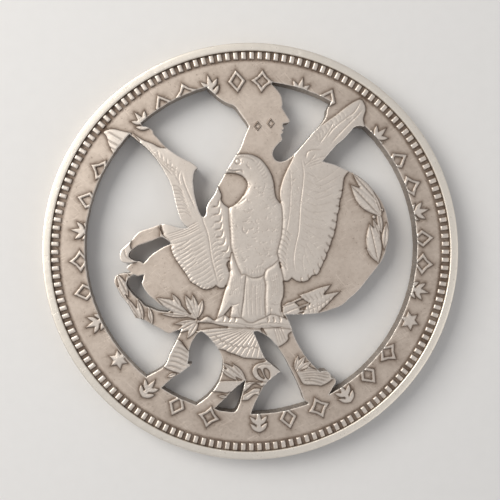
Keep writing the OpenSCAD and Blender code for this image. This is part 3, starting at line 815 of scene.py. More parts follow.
def breast_lines():
    """Feathers along the sides of the neck and breast, with the middle worn smooth."""
    return [
        stroke([(-0.8, 2.3), (-0.75, 1.9), (-0.5, 1.75), (-0.35, 2.1)], 0.07, 0.03),
        stroke([(-0.2, 6.0), (-0.45, 5.5), (-0.8, 5.1)], 0.07, 0.035),
        stroke([(-0.5, 4.9), (-0.9, 4.6), (-1.2, 4.4)], 0.07, 0.035),
        *between([(2.0, 6.2), (2.15, 5.4), (2.5, 4.5)], [(1.5, 5.9), (1.65, 4.9), (2.0, 4.0)], 6,
                 bow=0.1, width=0.06, depth=0.016),
        *between([(-1.95, 3.6), (-1.9, 1.6), (-1.7, -0.2)], [(-1.6, 3.0), (-1.5, 1.0), (-1.3, -0.6)], 11,
                 bow=-0.1, width=0.06, depth=0.018),
        *between([(2.7, 3.4), (2.6, 1.5), (2.3, -0.1)], [(2.35, 2.9), (2.25, 1.0), (1.95, -0.5)], 11,
                 bow=0.1, width=0.06, depth=0.018),
        *plumes([(-1.2, 4.6), (-1.4, 2.4), (-1.2, 0.2), (-0.7, -1.6)],
                [(2.0, 4.6), (2.3, 2.4), (2.0, 0.2), (1.4, -1.6)], 12, 6, 0.34, width=0.05, depth=0.019),
        *plumes([(-0.1, 7.9), (-0.1, 6.6), (-0.3, 5.2)], [(1.6, 7.4), (2.0, 6.2), (1.9, 5.0)], 7, 5, 0.3,
                width=0.05, depth=0.017),
        *between([(-0.7, -1.3), (0.2, -1.6), (1.0, -1.3)], [(-0.55, -2.0), (0.2, -2.25), (0.9, -2.0)], 6,
                 width=0.07, depth=0.014),
    ]


def left_wing_lines():
    """Feather rows of the wing on the left."""
    ridge = [(-4.75, 3.5), (-4.5, 2.6), (-4.2, 1.8), (-4.0, 0.8), (-3.9, 0.0), (-3.75, -0.8),
             (-3.55, -1.6), (-3.2, -2.9)]
    coverts = [(-3.6, 4.6), (-3.5, 3.7), (-3.35, 2.9), (-3.3, 2.1), (-3.15, 1.2), (-2.85, 0.4),
               (-2.5, -0.2), (-2.2, -0.75)]
    margin = [(-7.5, 0.6), (-7.1, -0.4), (-6.3, -1.5), (-5.5, -2.5), (-4.6, -3.2), (-3.5, -3.2)]
    arm = [(-8.8, 9.4), (-7.4, 8.2), (-6.3, 7.2)]
    return [
        stroke(ridge, 0.08, -0.028),
        stroke(moved(ridge, 0.16, 0), 0.06, 0.028),
        stroke([(-6.2, 7.5), (-5.95, 6.3), (-5.5, 5.2), (-5.0, 4.0), (-4.75, 3.5)], 0.08, -0.03),
        stroke([(-6.35, 7.1), (-6.1, 6.2), (-5.65, 5.1), (-5.15, 4.0)], 0.06, 0.025),
        *between(moved(coverts, -0.05, -0.15), moved(coverts, 0.6, 0.5), 8, bow=-0.32,
                 width=0.075, depth=0.055),
        *between(moved(coverts[1:], -0.4, -0.1), moved(coverts[1:], -0.1, 0.3), 5, bow=-0.2,
                 width=0.06, depth=0.016),
        *between(moved(ridge[2:], -0.15, 0.3),
                 [(-7.3, 0.9), (-6.9, -0.4), (-6.1, -1.5), (-5.0, -2.6), (-4.2, -3.1)], 12, bow=0.05,
                 width=0.05, depth=0.014),
        *between([(-5.6, 1.3), (-5.3, 0.0), (-4.9, -1.0)], [(-7.0, 0.5), (-6.6, -0.6), (-5.7, -1.7)], 7,
                 bow=0.04, width=0.06, depth=0.024),
        *between([(-4.9, 2.9), (-4.6, 2.1)], [(-7.9, 1.6), (-7.3, 1.0)], 4, bow=0.04,
                 width=0.05, depth=0.022),
        *between(moved(ridge[3:], 0.3, 0), [(-2.9, 1.3), (-2.6, -0.3), (-2.6, -2.6)], 9,
                 bow=0.1, width=0.05, depth=0.02),
        *between([(x * 1.07, y - 0.28) for x, y in margin], [(x * 0.96, y + 0.12) for x, y in margin], 16,
                 width=0.06, depth=0.03),
        *between([(-10.4, 10.35), (-10.0, 10.0), (-9.4, 9.75)], [(-6.6, 7.4), (-6.5, 7.0), (-7.3, 6.9)], 3,
                 bow=-0.03, width=0.06, depth=0.03),
        *between(arm, [(-7.9, 8.1), (-7.0, 7.0), (-6.4, 5.9)], 6, bow=-0.12, width=0.06, depth=0.022),
        *between([(-7.2, 6.2), (-7.0, 4.6), (-6.7, 3.4)], [(-6.3, 5.6), (-5.8, 4.2), (-5.3, 3.0)], 8,
                 bow=0.16, width=0.05, depth=0.026),
    ]


def left_tip_lines():
    """Feather gaps at the wing's tip."""
    return [
        stroke([(-13.0, 10.9), (-12.4, 10.6), (-11.6, 10.1)], 0.07, 0.045),
        stroke([(-13.15, 10.2), (-12.6, 9.9), (-11.8, 9.5)], 0.07, 0.045),
        stroke([(-12.95, 9.5), (-12.5, 9.3), (-12.1, 9.1)], 0.07, 0.045),
    ]


def right_wing_lines():
    """Feather rows of the wing on the right."""
    shaft = [(4.57, 8.4), (4.75, 7.3), (4.7, 6.3), (4.57, 5.2), (4.45, 4.2), (4.3, 1.9), (4.0, 0.5),
             (3.85, -0.8), (4.0, -1.8)]
    quill = [(3.5, 7.6), (3.6, 6.4), (3.57, 5.6), (3.5, 3.9), (3.3, 2.5), (3.1, 1.4)]
    inner = [(2.75, 2.4), (2.6, 0.9), (2.5, 0.2), (2.4, -0.4), (2.7, -1.2)]
    vanes = [(8.2, 8.3), (8.1, 7.0), (7.6, 5.6), (7.2, 4.2), (6.9, 2.8), (6.5, 1.3), (5.9, -0.3),
             (5.2, -1.5), (4.5, -2.2)]
    middle = [(6.6, 7.0), (6.3, 5.2), (6.0, 3.6), (5.6, 1.8), (5.1, 0.2), (4.6, -1.2)]
    return [
        stroke(shaft, 0.05, 0.032),
        stroke(quill, 0.05, 0.022),
        *between([(8.7, 6.14), (8.35, 4.2), (8.0, 2.93), (7.6, 1.15), (7.2, -0.35), (6.5, -1.75),
                  (5.7, -2.65), (4.3, -3.0)],
                 [(8.05, 6.0), (7.7, 4.2), (7.35, 3.0), (6.95, 1.3), (6.55, 0.0), (5.95, -1.2),
                  (5.25, -2.0), (4.2, -2.35)], 14, bow=0.1, width=0.075, depth=0.055),
        *plumes([(2.9, 7.2), (2.8, 5.0), (2.9, 2.8)], [(4.2, 7.2), (4.2, 5.0), (4.0, 2.8)], 11, 3, 0.3,
                width=0.055, depth=0.014),
        *between(inner, [(3.7, 1.7), (3.4, 0.4), (3.2, -0.7), (3.3, -1.9)], 8, bow=0.1,
                 width=0.055, depth=0.03),
        *between([(5.0, 7.6), (4.95, 6.0), (4.85, 4.4), (4.7, 2.0), (4.4, 0.4), (4.2, -0.9)],
                 middle, 13, bow=-0.06, width=0.05, depth=0.014),
        *between([(5.9, 6.6), (5.7, 5.0), (5.4, 3.2), (5.0, 1.4), (4.7, -0.4)], vanes, 13, bow=-0.04,
                 width=0.055, depth=0.013),
        stroke([(4.95, 8.6), (5.15, 9.15), (5.75, 9.35), (6.5, 9.3)], 0.07, 0.035),
        stroke([(4.8, 8.3), (5.0, 8.0), (5.5, 8.5), (5.85, 9.0)], 0.06, 0.025),
        *between([(5.2, 8.3), (5.0, 7.6)], [(7.6, 9.0), (8.1, 8.2)], 3, bow=0.05, width=0.06, depth=0.024),
        stroke([(9.97, 13.7), (9.4, 12.8), (8.6, 12.2), (7.5, 11.3), (6.9, 10.5)], 0.07, 0.04),
        stroke([(10.2, 13.1), (9.6, 12.4), (8.4, 11.2), (7.3, 10.0)], 0.07, 0.035),
        stroke([(7.5, 11.9), (7.2, 11.3), (6.8, 10.7), (6.2, 9.9)], 0.06, 0.03),
        stroke([(8.6, 12.2), (8.9, 12.1), (9.3, 12.4)], 0.06, 0.025),
        *between([(5.6, 10.7), (6.6, 11.5), (8.4, 12.9)], [(5.9, 10.1), (6.9, 11.0), (8.7, 12.5)], 9,
                 bow=0.2, width=0.06, depth=0.014),
    ]


def leg_lines(side):
    """Feathers of a thigh and the toes: side is -1 for the left leg and 1 for the right one."""
    middle = 0.3

    def leg(*points):
        """Points given by their distance from the body's middle, on this leg's side."""
        return [(middle + side * out, y) for out, y in points]

    return [
        *between(leg((1.2, -1.8), (2.2, -1.6)), leg((1.5, -4.2), (2.3, -4.0)), 5, bow=0.05,
                 width=0.06, depth=0.012),
        *plumes(leg((1.2, -2.2), (1.45, -4.0)), leg((2.3, -2.0), (2.3, -4.0)), 5, 3, 0.3,
                width=0.055, depth=0.013),
        stroke(leg((1.6, -3.3), (1.85, -3.35)), 0.07, 0.03),
        stroke(leg((1.45, -4.7), (1.9, -4.85), (2.3, -4.7)), 0.06, 0.025),
        stroke(leg((1.5, -5.1), (1.4, -5.9)), 0.07, 0.04),
        stroke(leg((2.2, -5.1), (2.5, -5.9)), 0.07, 0.03),
    ]


def tail_lines():
    """Long gaps between the tail feathers, with finer barbs between them."""
    gaps = [stroke([(x, -2.7), (x - 0.05, -4.2), (x, -6.0)], 0.05, 0.02)
            for x in (-0.35, 0.05, 0.45, 0.85)]
    barbs = between([(-0.5, -2.9), (1.1, -2.9)], [(-0.35, -4.6), (0.95, -4.6)], 9, width=0.045, depth=0.012)
    return gaps + barbs


def tail_fan_lines():
    """Spread feathers below the perch, in a long and a short tier."""
    hub = [(-0.9, -7.0), (-0.4, -7.05), (0.5, -7.1), (1.2, -7.1)]
    tips = [(-4.6, -7.3), (-3.5, -8.3), (-2.6, -9.1), (-1.4, -9.5), (0.0, -9.8), (1.2, -9.8)]
    return [
        *between(hub, tips, 13, width=0.065, depth=0.04),
        *scallops([(-3.2, -7.5), (-2.3, -8.2), (-1.2, -8.5), (0.2, -8.6), (1.2, -8.5)], 9, 0.4,
                  width=0.06, depth=0.045),
        *between([(2.0, -7.0), (2.8, -7.0)], [(2.4, -8.6), (3.3, -8.0)], 4, width=0.065, depth=0.035),
    ]


def perch_lines():
    """Bark, knots and the toes that grip the branch."""
    return [
        stroke([(-4.4, -6.35), (-3.0, -6.45), (-1.6, -6.5), (0.0, -6.75), (1.5, -6.5), (3.4, -6.7)],
               0.06, 0.03),
        *between([(-2.8, -5.9), (-1.2, -5.95)], [(-2.9, -6.35), (-1.3, -6.45)], 3, bow=0.15,
                 width=0.08, depth=0.06),
        *between([(1.2, -6.0), (2.8, -5.9)], [(1.2, -6.5), (2.9, -6.45)], 3, bow=0.15,
                 width=0.08, depth=0.06),
        stroke([(-3.9, -6.5), (-3.7, -6.62), (-3.4, -6.6)], 0.06, 0.03),
        stroke([(-0.7, -6.75), (-0.3, -6.95), (0.3, -6.9)], 0.06, 0.03),
        stroke([(1.6, -6.75), (2.2, -6.95), (2.9, -6.85)], 0.06, 0.03),
    ]


# ---- What the bird holds and what is round it ----

OLIVE = leaf_list(
    (-5.6, -5.75, -8.75, -4.15, 1.1), (-6.3, -5.3, -7.3, -3.75, 0.6), (-4.95, -6.2, -6.1, -3.85, 0.85),
    (-4.95, -6.2, -5.4, -3.8, 0.75), (-4.9, -6.1, -4.45, -4.3, 0.65), (-5.5, -5.9, -8.4, -5.65, 0.5),
    (-4.7, -6.25, -7.0, -5.25, 0.4), (-4.7, -6.25, -7.15, -6.6, 0.55), (-4.8, -6.2, -6.9, -7.4, 0.8),
    (-4.8, -6.2, -5.9, -7.95, 0.75))
WREATH_RIGHT = leaf_list(
    (11.9, 3.2, 9.05, 6.2, 1.5), (11.8, 4.4, 9.2, 7.3, 0.9), (11.7, 3.4, 9.75, 4.55, 0.5),
    (12.0, 3.3, 11.2, 5.5, 0.5), (11.7, -1.15, 10.85, 2.65, 1.5), (11.8, -1.1, 10.5, 0.45, 0.5),
    (11.3, -0.2, 10.5, 1.45, 0.4), (12.2, 0.1, 12.45, 2.8, 0.7), (11.9, 1.2, 11.1, 3.1, 0.5),
    (12.0, 1.6, 11.6, 4.1, 0.6))
WREATH_CLAWS = leaf_list(
    (-11.2, -4.1, -12.3, -1.9, 0.8), (-11.0, -3.6, -11.3, -1.9, 0.7), (-11.1, -4.9, -12.3, -3.0, 0.5),
    (-9.9, -6.5, -11.5, -4.0, 0.55), (-9.85, -6.3, -10.45, -4.2, 0.6), (-9.05, -6.7, -9.4, -4.9, 0.55))
WREATH_MIDDLE = leaf_list(
    (-0.4, -11.9, -2.75, -10.05, 0.7), (-0.45, -11.8, -1.8, -10.15, 0.6), (-1.2, -11.8, -3.0, -10.5, 0.6),
    (-2.1, -13.3, -3.1, -13.2, 0.4))
WREATH_LOWER_RIGHT = leaf_list(
    (4.0, -10.9, 4.3, -9.45, 0.5), (4.0, -10.9, 5.0, -9.5, 0.6), (4.1, -11.0, 5.6, -10.0, 0.6))
WREATH_LOWER_LEFT = leaf_list((-6.8, -11.1, -7.75, -11.45, 0.5))


def feather_lines():
    """Barbs of the arrows' feathers."""
    return [
        *between([(4.6, -3.9), (5.6, -3.9), (6.9, -3.3)], [(5.2, -4.5), (6.2, -4.4), (7.0, -3.8)], 5,
                 width=0.07, depth=0.035),
        *between([(5.0, -4.9), (6.1, -4.6), (7.9, -3.8)], [(5.2, -5.8), (6.3, -5.4), (7.6, -4.3)], 7,
                 width=0.07, depth=0.035),
        stroke([(5.0, -5.4), (6.2, -4.95), (7.5, -4.0)], 0.07, 0.035),
    ]


def shaft_lines():
    """Gaps between the arrows' shafts."""
    return [
        stroke([(2.9, -5.0), (3.7, -4.75), (4.6, -4.4)], 0.07, 0.045),
        stroke([(3.0, -5.6), (4.0, -5.2), (5.0, -4.9)], 0.07, 0.045),
        stroke([(3.2, -6.0), (4.2, -5.75), (5.1, -5.4)], 0.07, 0.045),
    ]


def claw_lines():
    """Veins of the small leaves by the sawn claws."""
    return [
        stroke([(-8.3, 2.3), (-8.1, 1.7), (-7.7, 1.2)], 0.07, 0.035),
        stroke([(-11.6, 0.3), (-11.4, -0.4), (-10.8, -0.8)], 0.07, 0.035),
    ]


def strip_lines():
    """Folds of the ribbon between the lower left openings."""
    return between([(-6.5, -8.1), (-7.2, -9.3), (-7.8, -10.6)], [(-5.8, -8.7), (-5.7, -9.9), (-6.4, -11.0)],
                   6, bow=0.06, width=0.08, depth=0.045)


def lower_right_lines():
    """Long leaves of the bundle at the lower right, spreading from the sawn edge."""
    return between([(4.2, -10.8), (4.4, -11.2), (4.8, -11.9)],
                   [(6.7, -10.8), (7.4, -11.4), (6.5, -12.3)], 6, bow=0.06, width=0.075, depth=0.05)


def ribbon_lines():
    """Folds along the ribbon's two tails."""
    return [
        stroke([(-0.5, -12.2), (0.2, -12.05), (1.0, -12.15)], 0.07, 0.035),
        stroke([(-0.6, -13.3), (0.0, -12.95), (0.7, -12.8)], 0.07, 0.035),
    ]


def bow_lines():
    """Creases of the bow's loop."""
    return [
        stroke([(0.35, -11.0), (0.6, -10.5), (1.2, -10.3), (1.9, -10.4)], 0.07, 0.035),
    ]


# ---- The blank, its edge, rims and denticles ----

WALL_ROWS = (0.2, 0.4, 0.6, 0.8)
BAND_R = 15.0
REED_STEPS = 10
RIM_SEGMENTS = 960
DENTICLE_W = 0.46
FRONT_WEAR, BACK_WEAR = 0.04, 0.12


def field_tarnish_shade_and_bare(flat, devices, wear):
    """Tarnish, painted shade and bare metal of a field: tarnish with painted shade beside the devices,
    where they would shade the field, and tarnish in the border band and between the denticles. wear is the
    tarnish that is left everywhere."""
    beside = nearest(flat, np.concatenate([DEVICE_SAMPLES[node] for node in devices]))[0]
    cut = nearest(flat, SAWN_SAMPLES)[0]
    radius = np.hypot(*flat.T)
    band = ramp(radius, BAND_R - 1.0, BAND_R + 0.8)
    teeth = ramp(radius, FIELD_R - 1.0, FIELD_R - 0.76)
    # Painted shade: the field is darkened close to the raised devices, as if they shaded it; the band and
    # denticle terms are tarnish
    tarnish_and_shade = wear + 0.06 * band + 0.40 * fades(beside, 0.15) + 0.16 * fades(beside, 0.5) + 0.62 * teeth
    return np.clip(tarnish_and_shade, 0, 1) * (1 - 0.75 * fades(cut, 0.11)), burr_shine(cut)


def build_blank():
    """The sawn blank: both fields and the walls of its openings."""
    shape = bpy.context.scene.coin_shape
    flat, triangles = triangulated(BLANK_LOOPS, shape.field_step, FIELD_RINGS)
    cut = nearest(flat, SAWN_SAMPLES)[0]
    burr = shape.saw_bevel * fades(cut, shape.saw_bevel)
    uneven = shape.unevenness * (waves(flat, 2.4, 6.5) - 1.0) * ramp(cut, 0.05, 0.4)
    # Devices that get painted shade on the field round them; the motto's lozenges get none
    shaded = [node for node in DEVICES if node != "motto_lozenges"]
    front_tarnish_and_shade, front_bare = field_tarnish_shade_and_bare(flat, shaded, FRONT_WEAR)
    back_tarnish_and_shade, back_bare = field_tarnish_shade_and_bare(flat, BACK_DEVICES, BACK_WEAR)
    vertices, faces, walls = closed_solid(
        sawn(flat, shape), triangles, FRONT - burr + uneven, BACK + burr - uneven, WALL_ROWS)
    marks = {"tarnish_and_shade": np.concatenate([front_tarnish_and_shade, back_tarnish_and_shade]),
             "bare": np.concatenate([front_bare, back_bare])}
    piece("pierced_blank_sawn", vertices, faces, ["pierced_blank"],
          [finish_named("toned_field"), finish_named("sawn_wall")], marks, walls)


def build_edge():
    """The reeded edge: rounded reeds that fade out at both rims."""
    shape = bpy.context.scene.coin_shape
    depth = COIN_R - RIM_R
    height = FRONT - BACK
    # Share of the height, how much of a reed stands out there
    shares = [(0.0, 0.0), (0.05, 0.55), (0.1, 0.9), (0.16, 1.0), (0.84, 1.0), (0.9, 0.9),
              (0.95, 0.55), (1.0, 0.0)]
    profile = [(FIELD_R, BACK, 0.0)] + [(RIM_R, BACK + at * height, crest) for at, crest in shares]
    profile.append((FIELD_R, FRONT, 0.0))

    def section_at(points, angle):
        """Radii and heights of the profile where a reed or a gap stands."""
        wave = 0.5 + 0.5 * math.cos(shape.reeds * angle)
        return points[:, 0] + depth * points[:, 2] * wave ** 0.8, points[:, 1]

    vertices, faces = lathe(profile, section_at, shape.reeds * REED_STEPS)
    stains = [0.3] + [0.5 - 0.3 * crest for _, crest in shares] + [0.3]
    ring = np.tile(stains, shape.reeds * REED_STEPS)
    gap = 0.5 - 0.5 * np.cos(shape.reeds * np.arctan2(vertices[:, 1], vertices[:, 0]))
    piece("reeded_edge_worn", vertices, faces, ["reeded_edge"],
          [finish_named("worn_rim")], {"tarnish_and_shade": np.clip(ring + 0.35 * gap, 0, 1)})


def build_rims():
    """The two rims: a worn flat between a rounded outside and a sloping inside."""
    flat_w = RIM_R - FIELD_R
    drop = COIN_H - FRONT
    # Share across the rim from the inside, share of its height, tarnish
    section = [(0.0, -0.12, 1.0), (0.0, 0.0, 1.0), (0.015, 0.35, 0.8), (0.04, 0.72, 0.45),
               (0.08, 0.93, 0.12), (0.14, 0.985, 0.0), (0.25, 1.0, 0.0), (0.75, 1.0, 0.0),
               (0.88, 0.985, 0.0), (0.95, 0.92, 0.0), (0.985, 0.76, 0.0), (1.0, 0.5, 0.05),
               (1.0, 0.1, 0.25), (1.0, -0.12, 0.4)]
    for face_name, side, ground in COIN_FACES:
        name = face_name + "_rim"
        profile = [(FIELD_R + across * flat_w, up, stain) for across, up, stain in section]

        def section_at(points, angle, side=side, ground=ground):
            """Radii and heights with the slow waves and small dents of wear."""
            ripple = noise.noise((4 * math.cos(angle), 4 * math.sin(angle), 7.3 * side))
            dent = noise.noise((26 * math.cos(angle), 26 * math.sin(angle), 1.9 * side))
            lower = 0.012 * (1 + ripple) + 0.010 * max(0.0, dent)
            up = points[:, 1] * drop
            up = np.where(points[:, 1] > 0.5, up - lower * (points[:, 1] - 0.5) * 2, up)
            return points[:, 0], ground + side * up

        vertices, faces = lathe(profile, section_at, RIM_SEGMENTS)
        stains = np.tile([row[2] for row in section], RIM_SEGMENTS)
        piece(name + "_worn", vertices, facing(faces, side), [name],
              [finish_named("worn_rim")], {"tarnish_and_shade": stains})


def denticle_patch(length, width, height):
    """One rounded denticle, lying from the rim inwards along -X, as a closed form."""
    across, along = 9, 13
    v = -np.cos(np.linspace(0, math.pi, across))
    u = -np.cos(np.linspace(0, math.pi, along))
    vertices, tarnish_and_shade = [], []
    for level in (1, 0):
        for a in u:
            for b in v:
                swell = ((1 - abs(a) ** 9) * (1 - abs(b) ** 6)) ** 0.5
                z = height * swell if level else -SINK
                vertices.append((0.5 * length * (a - 1), 0.5 * width * b, z))
                tarnish_and_shade.append(0.75 * (1 - ramp(swell, 0.05, 0.8)))
    vertices = np.array(vertices)
    faces = []
    top = across * along
    for i in range(along - 1):
        for j in range(across - 1):
            a = i * across + j
            quad = (a, a + across, a + across + 1, a + 1)
            faces += [quad, tuple(k + top for k in quad[::-1])]
    ring = list(range(across))
    ring += [i * across + across - 1 for i in range(1, along)]
    ring += [(along - 1) * across + j for j in range(across - 2, -1, -1)]
    ring += [i * across for i in range(along - 2, 0, -1)]
    for a, b in zip(ring, ring[1:] + ring[:1]):
        faces.append((a, b, b + top, a + top))
    return vertices, faces, np.array(tarnish_and_shade)


def build_denticles():
    """Two rings of small rounded teeth inside the rims."""
    count = bpy.context.scene.coin_shape.denticles
    outline = face_loops("front_denticles", FRONT + DENTICLE_H)[0]
    length = FIELD_R - float(np.hypot(*outline.T).min())
    patch, patch_faces, patch_tarnish = denticle_patch(length, DENTICLE_W, DENTICLE_H)
    for face_name, side, ground in COIN_FACES:
        name = face_name + "_denticles"
        vertices, faces = [], []
        for i in range(count):
            angle = 2 * math.pi * i / count
            wear = 1 - 0.10 * (1 + noise.noise((6 * math.cos(angle), 6 * math.sin(angle), side)))
            x, y = patch[:, 0] + FIELD_R, patch[:, 1]
            z = ground + side * np.where(patch[:, 2] > 0, patch[:, 2] * wear, patch[:, 2])
            vertices.append(np.column_stack([
                x * math.cos(angle) - y * math.sin(angle), x * math.sin(angle) + y * math.cos(angle), z]))
            start = i * len(patch)
            faces += [tuple(k + start for k in face) for face in facing(patch_faces, side)]
        piece(name + "_worn", np.vstack(vertices), faces, [name],
              [finish_named("worn_denticles")], {"tarnish_and_shade": np.tile(patch_tarnish, count)})


def build_border():
    """Ornaments and stars of the border."""
    for side in ("left", "top", "right", "bottom"):
        device("border_marks_" + side, [(1.0, 0.15)])
    for side in ("left", "right"):
        device(side + "_star", [(0.35, 0.12), (0.65, 0.55)])
    device("motto_lozenges", [(1.0, 0.11)])


def build_bird():
    """The bird, from its head to its tail."""
    body = [(0.4, 0.16), (0.35, 0.7), (0.25, 1.6)]
    wing = [(0.6, 0.14), (0.4, 0.9)]
    device("eagle_head", body, head_lines(), continues=["eagle_breast"])
    device("eagle_breast", body, breast_lines(), continues=["eagle_head"])
    device("left_wing", wing, left_wing_lines())
    device("left_wing_tip", wing, left_tip_lines())
    device("right_wing", wing, right_wing_lines())
    device("left_leg", body, leg_lines(-1))
    device("right_leg", body, leg_lines(1))
    device("tail", wing, tail_lines())
    device("tail_fan", [(0.7, 0.14), (0.3, 0.6)], tail_fan_lines())


def build_branches():
    """The perch, its olive leaves and the arrows."""
    device("perch_branch", [(0.5, 0.14), (0.5, 0.4)], perch_lines())
    device("olive_leaves", [(1.0, 0.16)], leaves=OLIVE)
    device("arrow_feathers", [(1.0, 0.16)], feather_lines())
    device("arrow_shafts", [(1.0, 0.16)], shaft_lines())


def build_wreath():
    """The wreath's leaves, cut up by the openings."""
    leafy = [(1.0, 0.13)]
    device("wreath_right", leafy, leaves=WREATH_RIGHT)
    device("wreath_claws", leafy, claw_lines(), leaves=WREATH_CLAWS)
    device("wreath_lower_left", leafy, strip_lines(), leaves=WREATH_LOWER_LEFT)
    device("wreath_lower_middle", leafy, leaves=WREATH_MIDDLE)
    device("wreath_lower_right", leafy, lower_right_lines(), leaves=WREATH_LOWER_RIGHT)


def build_bow():
    """The bow's loop and the ribbon's tails."""
    device("bow_loop", [(1.0, 0.14)], bow_lines())
    device("ribbon", [(1.0, 0.14)], ribbon_lines())


def build_back():
    """The plain back's stars and laurel."""
    laurel = []
    count, inner_r, spread, reach, width = 36, 11.2, 0.75, 1.9, 0.75
    for i in range(count):
        angle = 2 * math.pi * i / count
        out = np.array([math.cos(angle), math.sin(angle)])
        side = np.array([-out[1], out[0]])
        for hand in (-1, 1):
            base = inner_r * out
            laurel.append((base, base + hand * spread * out + reach * side, width))
    device("back_stars", [(0.4, 0.1), (0.6, 0.35)], step=0.1)
    device("back_laurel", [(1.0, 0.13)], leaves=laurel, step=0.1)


# ---- The stage ----

FLOOR_HALF = 3.0
WINDOW_AT, WINDOW_SIZE, WINDOW_COLOUR = (-0.16, 0.09, 0.17), 0.16, (1.0, 0.975, 0.94)
FILL_AT, FILL_SIZE, FILL_COLOUR = (0.2, -0.1, 0.2), 0.25, (1.0, 0.97, 0.93)
SKY_COLOUR = (0.94, 0.95, 1.0, 1)


def area_light(name, place, size, power, colour):
    """A soft square light aimed at the coin."""
    data = bpy.data.lights.new(name, "AREA")
    data.size = size
    data.energy = power
    data.color = colour
    lamp = bpy.data.objects.new(name, data)
    lamp.location = place
    lamp.rotation_euler = (-Vector(place)).to_track_quat("-Z", "Y").to_euler()
    bpy.context.scene.collection.objects.link(lamp)


def level_view(aim):
    """Rotation of a camera that looks along aim with the coin's +Y towards the top."""
    back = -aim.normalized()
    right = Vector((0, 1, 0)).cross(back).normalized()
    return Matrix((right, back.cross(right), back)).transposed().to_euler()


def floor_material(colour):
    """Matte pale floor with a very slight grain."""
    material, tree, shader = plain_material("pale_floor")
    where = shader_node(tree, "ShaderNodeTexCoord").outputs["Object"]
    grain = shader_node(tree, "ShaderNodeTexNoise", Vector=where, Scale=900.0, Detail=3.0).outputs["Fac"]
    pale = tuple(0.96 * c for c in colour)
    tree.links.new(blended(tree, grain, (*pale, 1), (*colour, 1)), shader.inputs["Base Color"])
    shader.inputs["Roughness"].default_value = 0.9
    return material


def build_stage():
    """Pale floor, even sky, a large soft window light from the left and the camera."""
    stage = bpy.context.scene.coin_stage
    scene = bpy.context.scene
    mesh = bpy.data.meshes.new("floor")
    corners = [(x * FLOOR_HALF, y * FLOOR_HALF, 0) for x, y in ((-1, -1), (1, -1), (1, 1), (-1, 1))]
    mesh.from_pydata(corners, [], [(0, 1, 2, 3)])
    mesh.materials.append(floor_material(stage.floor))
    floor = bpy.data.objects.new("floor", mesh)
    scene.collection.objects.link(floor)
    area_light("window_light", WINDOW_AT, WINDOW_SIZE, stage.key_power, WINDOW_COLOUR)
    area_light("fill_light", FILL_AT, FILL_SIZE, stage.fill_power, FILL_COLOUR)
    world = bpy.data.worlds.new("sky")
    world.use_nodes = True
    background = world.node_tree.nodes["Background"]
    background.inputs["Color"].default_value = SKY_COLOUR
    background.inputs["Strength"].default_value = stage.sky
    scene.world = world
    scene.view_settings.view_transform = "Standard"
    data = bpy.data.cameras.new("camera")
    data.lens = stage.lens
    data.shift_x = stage.shift
    data.clip_start, data.clip_end = 0.001, 10.0
    camera = bpy.data.objects.new("camera", data)
    camera.location = stage.camera_at
    camera.rotation_euler = level_view(Vector(stage.aim_at) - Vector(stage.camera_at))
    scene.collection.objects.link(camera)
    scene.camera = camera


# ---- Operators ----

class COIN_OT_blank(bpy.types.Operator):
    """Build the sawn blank with its two fields"""
    bl_idname = "coin.blank"
    bl_label = "Sawn blank"
    bl_options = {"REGISTER", "UNDO"}

    def execute(self, context):
        """Run the builder of these pieces; a fault in it stops the script."""
        build_blank()
        return {"FINISHED"}


class COIN_OT_edge(bpy.types.Operator):
    """Build the reeded edge"""
    bl_idname = "coin.edge"
    bl_label = "Reeded edge"
    bl_options = {"REGISTER", "UNDO"}

    def execute(self, context):
        """Run the builder of these pieces; a fault in it stops the script."""
        build_edge()
        return {"FINISHED"}


class COIN_OT_rims(bpy.types.Operator):
    """Build the front and back rims"""
    bl_idname = "coin.rims"
    bl_label = "Rims"
    bl_options = {"REGISTER", "UNDO"}

    def execute(self, context):
        """Run the builder of these pieces; a fault in it stops the script."""
        build_rims()
        return {"FINISHED"}


class COIN_OT_denticles(bpy.types.Operator):
    """Build both rings of denticles"""
    bl_idname = "coin.denticles"
    bl_label = "Denticles"
    bl_options = {"REGISTER", "UNDO"}

    def execute(self, context):
        """Run the builder of these pieces; a fault in it stops the script."""
        build_denticles()
        return {"FINISHED"}


class COIN_OT_border(bpy.types.Operator):
    """Build the border's ornaments and stars"""
    bl_idname = "coin.border"
    bl_label = "Border ornaments"
    bl_options = {"REGISTER", "UNDO"}

    def execute(self, context):
        """Run the builder of these pieces; a fault in it stops the script."""
        build_border()
        return {"FINISHED"}


class COIN_OT_bird(bpy.types.Operator):
    """Build the bird"""
    bl_idname = "coin.bird"
    bl_label = "Bird"
    bl_options = {"REGISTER", "UNDO"}

    def execute(self, context):
        """Run the builder of these pieces; a fault in it stops the script."""
        build_bird()
        return {"FINISHED"}


class COIN_OT_branches(bpy.types.Operator):
    """Build the perch, the olive leaves and the arrows"""
    bl_idname = "coin.branches"
    bl_label = "Branches and arrows"
    bl_options = {"REGISTER", "UNDO"}

    def execute(self, context):
        """Run the builder of these pieces; a fault in it stops the script."""
        build_branches()
        return {"FINISHED"}


class COIN_OT_wreath(bpy.types.Operator):
    """Build the wreath's leaves"""
    bl_idname = "coin.wreath"
    bl_label = "Wreath"
    bl_options = {"REGISTER", "UNDO"}

    def execute(self, context):
        """Run the builder of these pieces; a fault in it stops the script."""
        build_wreath()
        return {"FINISHED"}


class COIN_OT_bow(bpy.types.Operator):
    """Build the bow and the ribbon"""
    bl_idname = "coin.bow"
    bl_label = "Bow and ribbon"
    bl_options = {"REGISTER", "UNDO"}

    def execute(self, context):
        """Run the builder of these pieces; a fault in it stops the script."""
        build_bow()
        return {"FINISHED"}


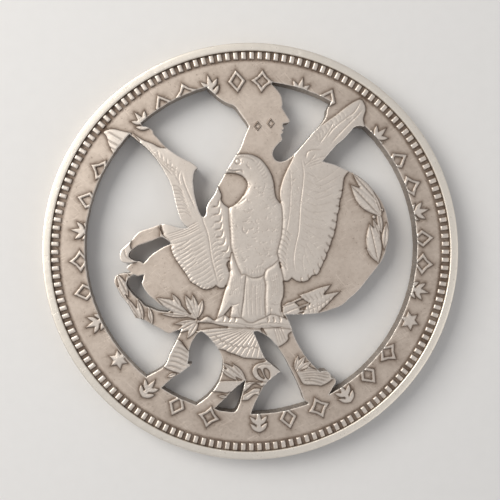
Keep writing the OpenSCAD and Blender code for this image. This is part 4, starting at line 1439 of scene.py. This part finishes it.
class COIN_OT_back(bpy.types.Operator):
    """Build the back's stars and laurel"""
    bl_idname = "coin.back"
    bl_label = "Back"
    bl_options = {"REGISTER", "UNDO"}

    def execute(self, context):
        """Run the builder of these pieces; a fault in it stops the script."""
        build_back()
        return {"FINISHED"}


class COIN_OT_stage(bpy.types.Operator):
    """Build the floor, the lights and the camera"""
    bl_idname = "coin.stage"
    bl_label = "Stage"
    bl_options = {"REGISTER", "UNDO"}

    def execute(self, context):
        """Run the builder of these pieces; a fault in it stops the script."""
        build_stage()
        return {"FINISHED"}


BUILDERS = (
    COIN_OT_blank, COIN_OT_edge, COIN_OT_rims, COIN_OT_denticles, COIN_OT_border, COIN_OT_bird,
    COIN_OT_branches, COIN_OT_wreath, COIN_OT_bow, COIN_OT_back, COIN_OT_stage,
)


class COIN_PT_panel(bpy.types.Panel):
    """Lists the coin's settings and the pieces that can be built"""
    bl_label = "Sawn coin"
    bl_idname = "COIN_PT_panel"
    bl_space_type = "VIEW_3D"
    bl_region_type = "UI"
    bl_category = "Coin"

    def draw(self, context):
        """Draw one button for each operator and one field for each setting."""
        for builder in BUILDERS:
            self.layout.operator(builder.bl_idname)
        for group in (context.scene.coin_shape, context.scene.coin_finish, context.scene.coin_stage):
            column = self.layout.column()
            for key in group.__annotations__:
                column.prop(group, key)


CLASSES = (CoinShape, CoinFinish, CoinStage, *BUILDERS, COIN_PT_panel)


def register():
    """Register the classes and hang the settings on the scene."""
    for item in CLASSES:
        bpy.utils.register_class(item)
    bpy.types.Scene.coin_shape = bpy.props.PointerProperty(type=CoinShape)
    bpy.types.Scene.coin_finish = bpy.props.PointerProperty(type=CoinFinish)
    bpy.types.Scene.coin_stage = bpy.props.PointerProperty(type=CoinStage)


def unregister():
    """Remove the settings and the classes."""
    del bpy.types.Scene.coin_stage
    del bpy.types.Scene.coin_finish
    del bpy.types.Scene.coin_shape
    for item in reversed(CLASSES):
        bpy.utils.unregister_class(item)


def main():
    """Build the coin and its stage."""
    register()
    for builder in BUILDERS:
        family, action = builder.bl_idname.split(".")
        getattr(getattr(bpy.ops, family), action)()


if __name__ == "__main__":
    main()
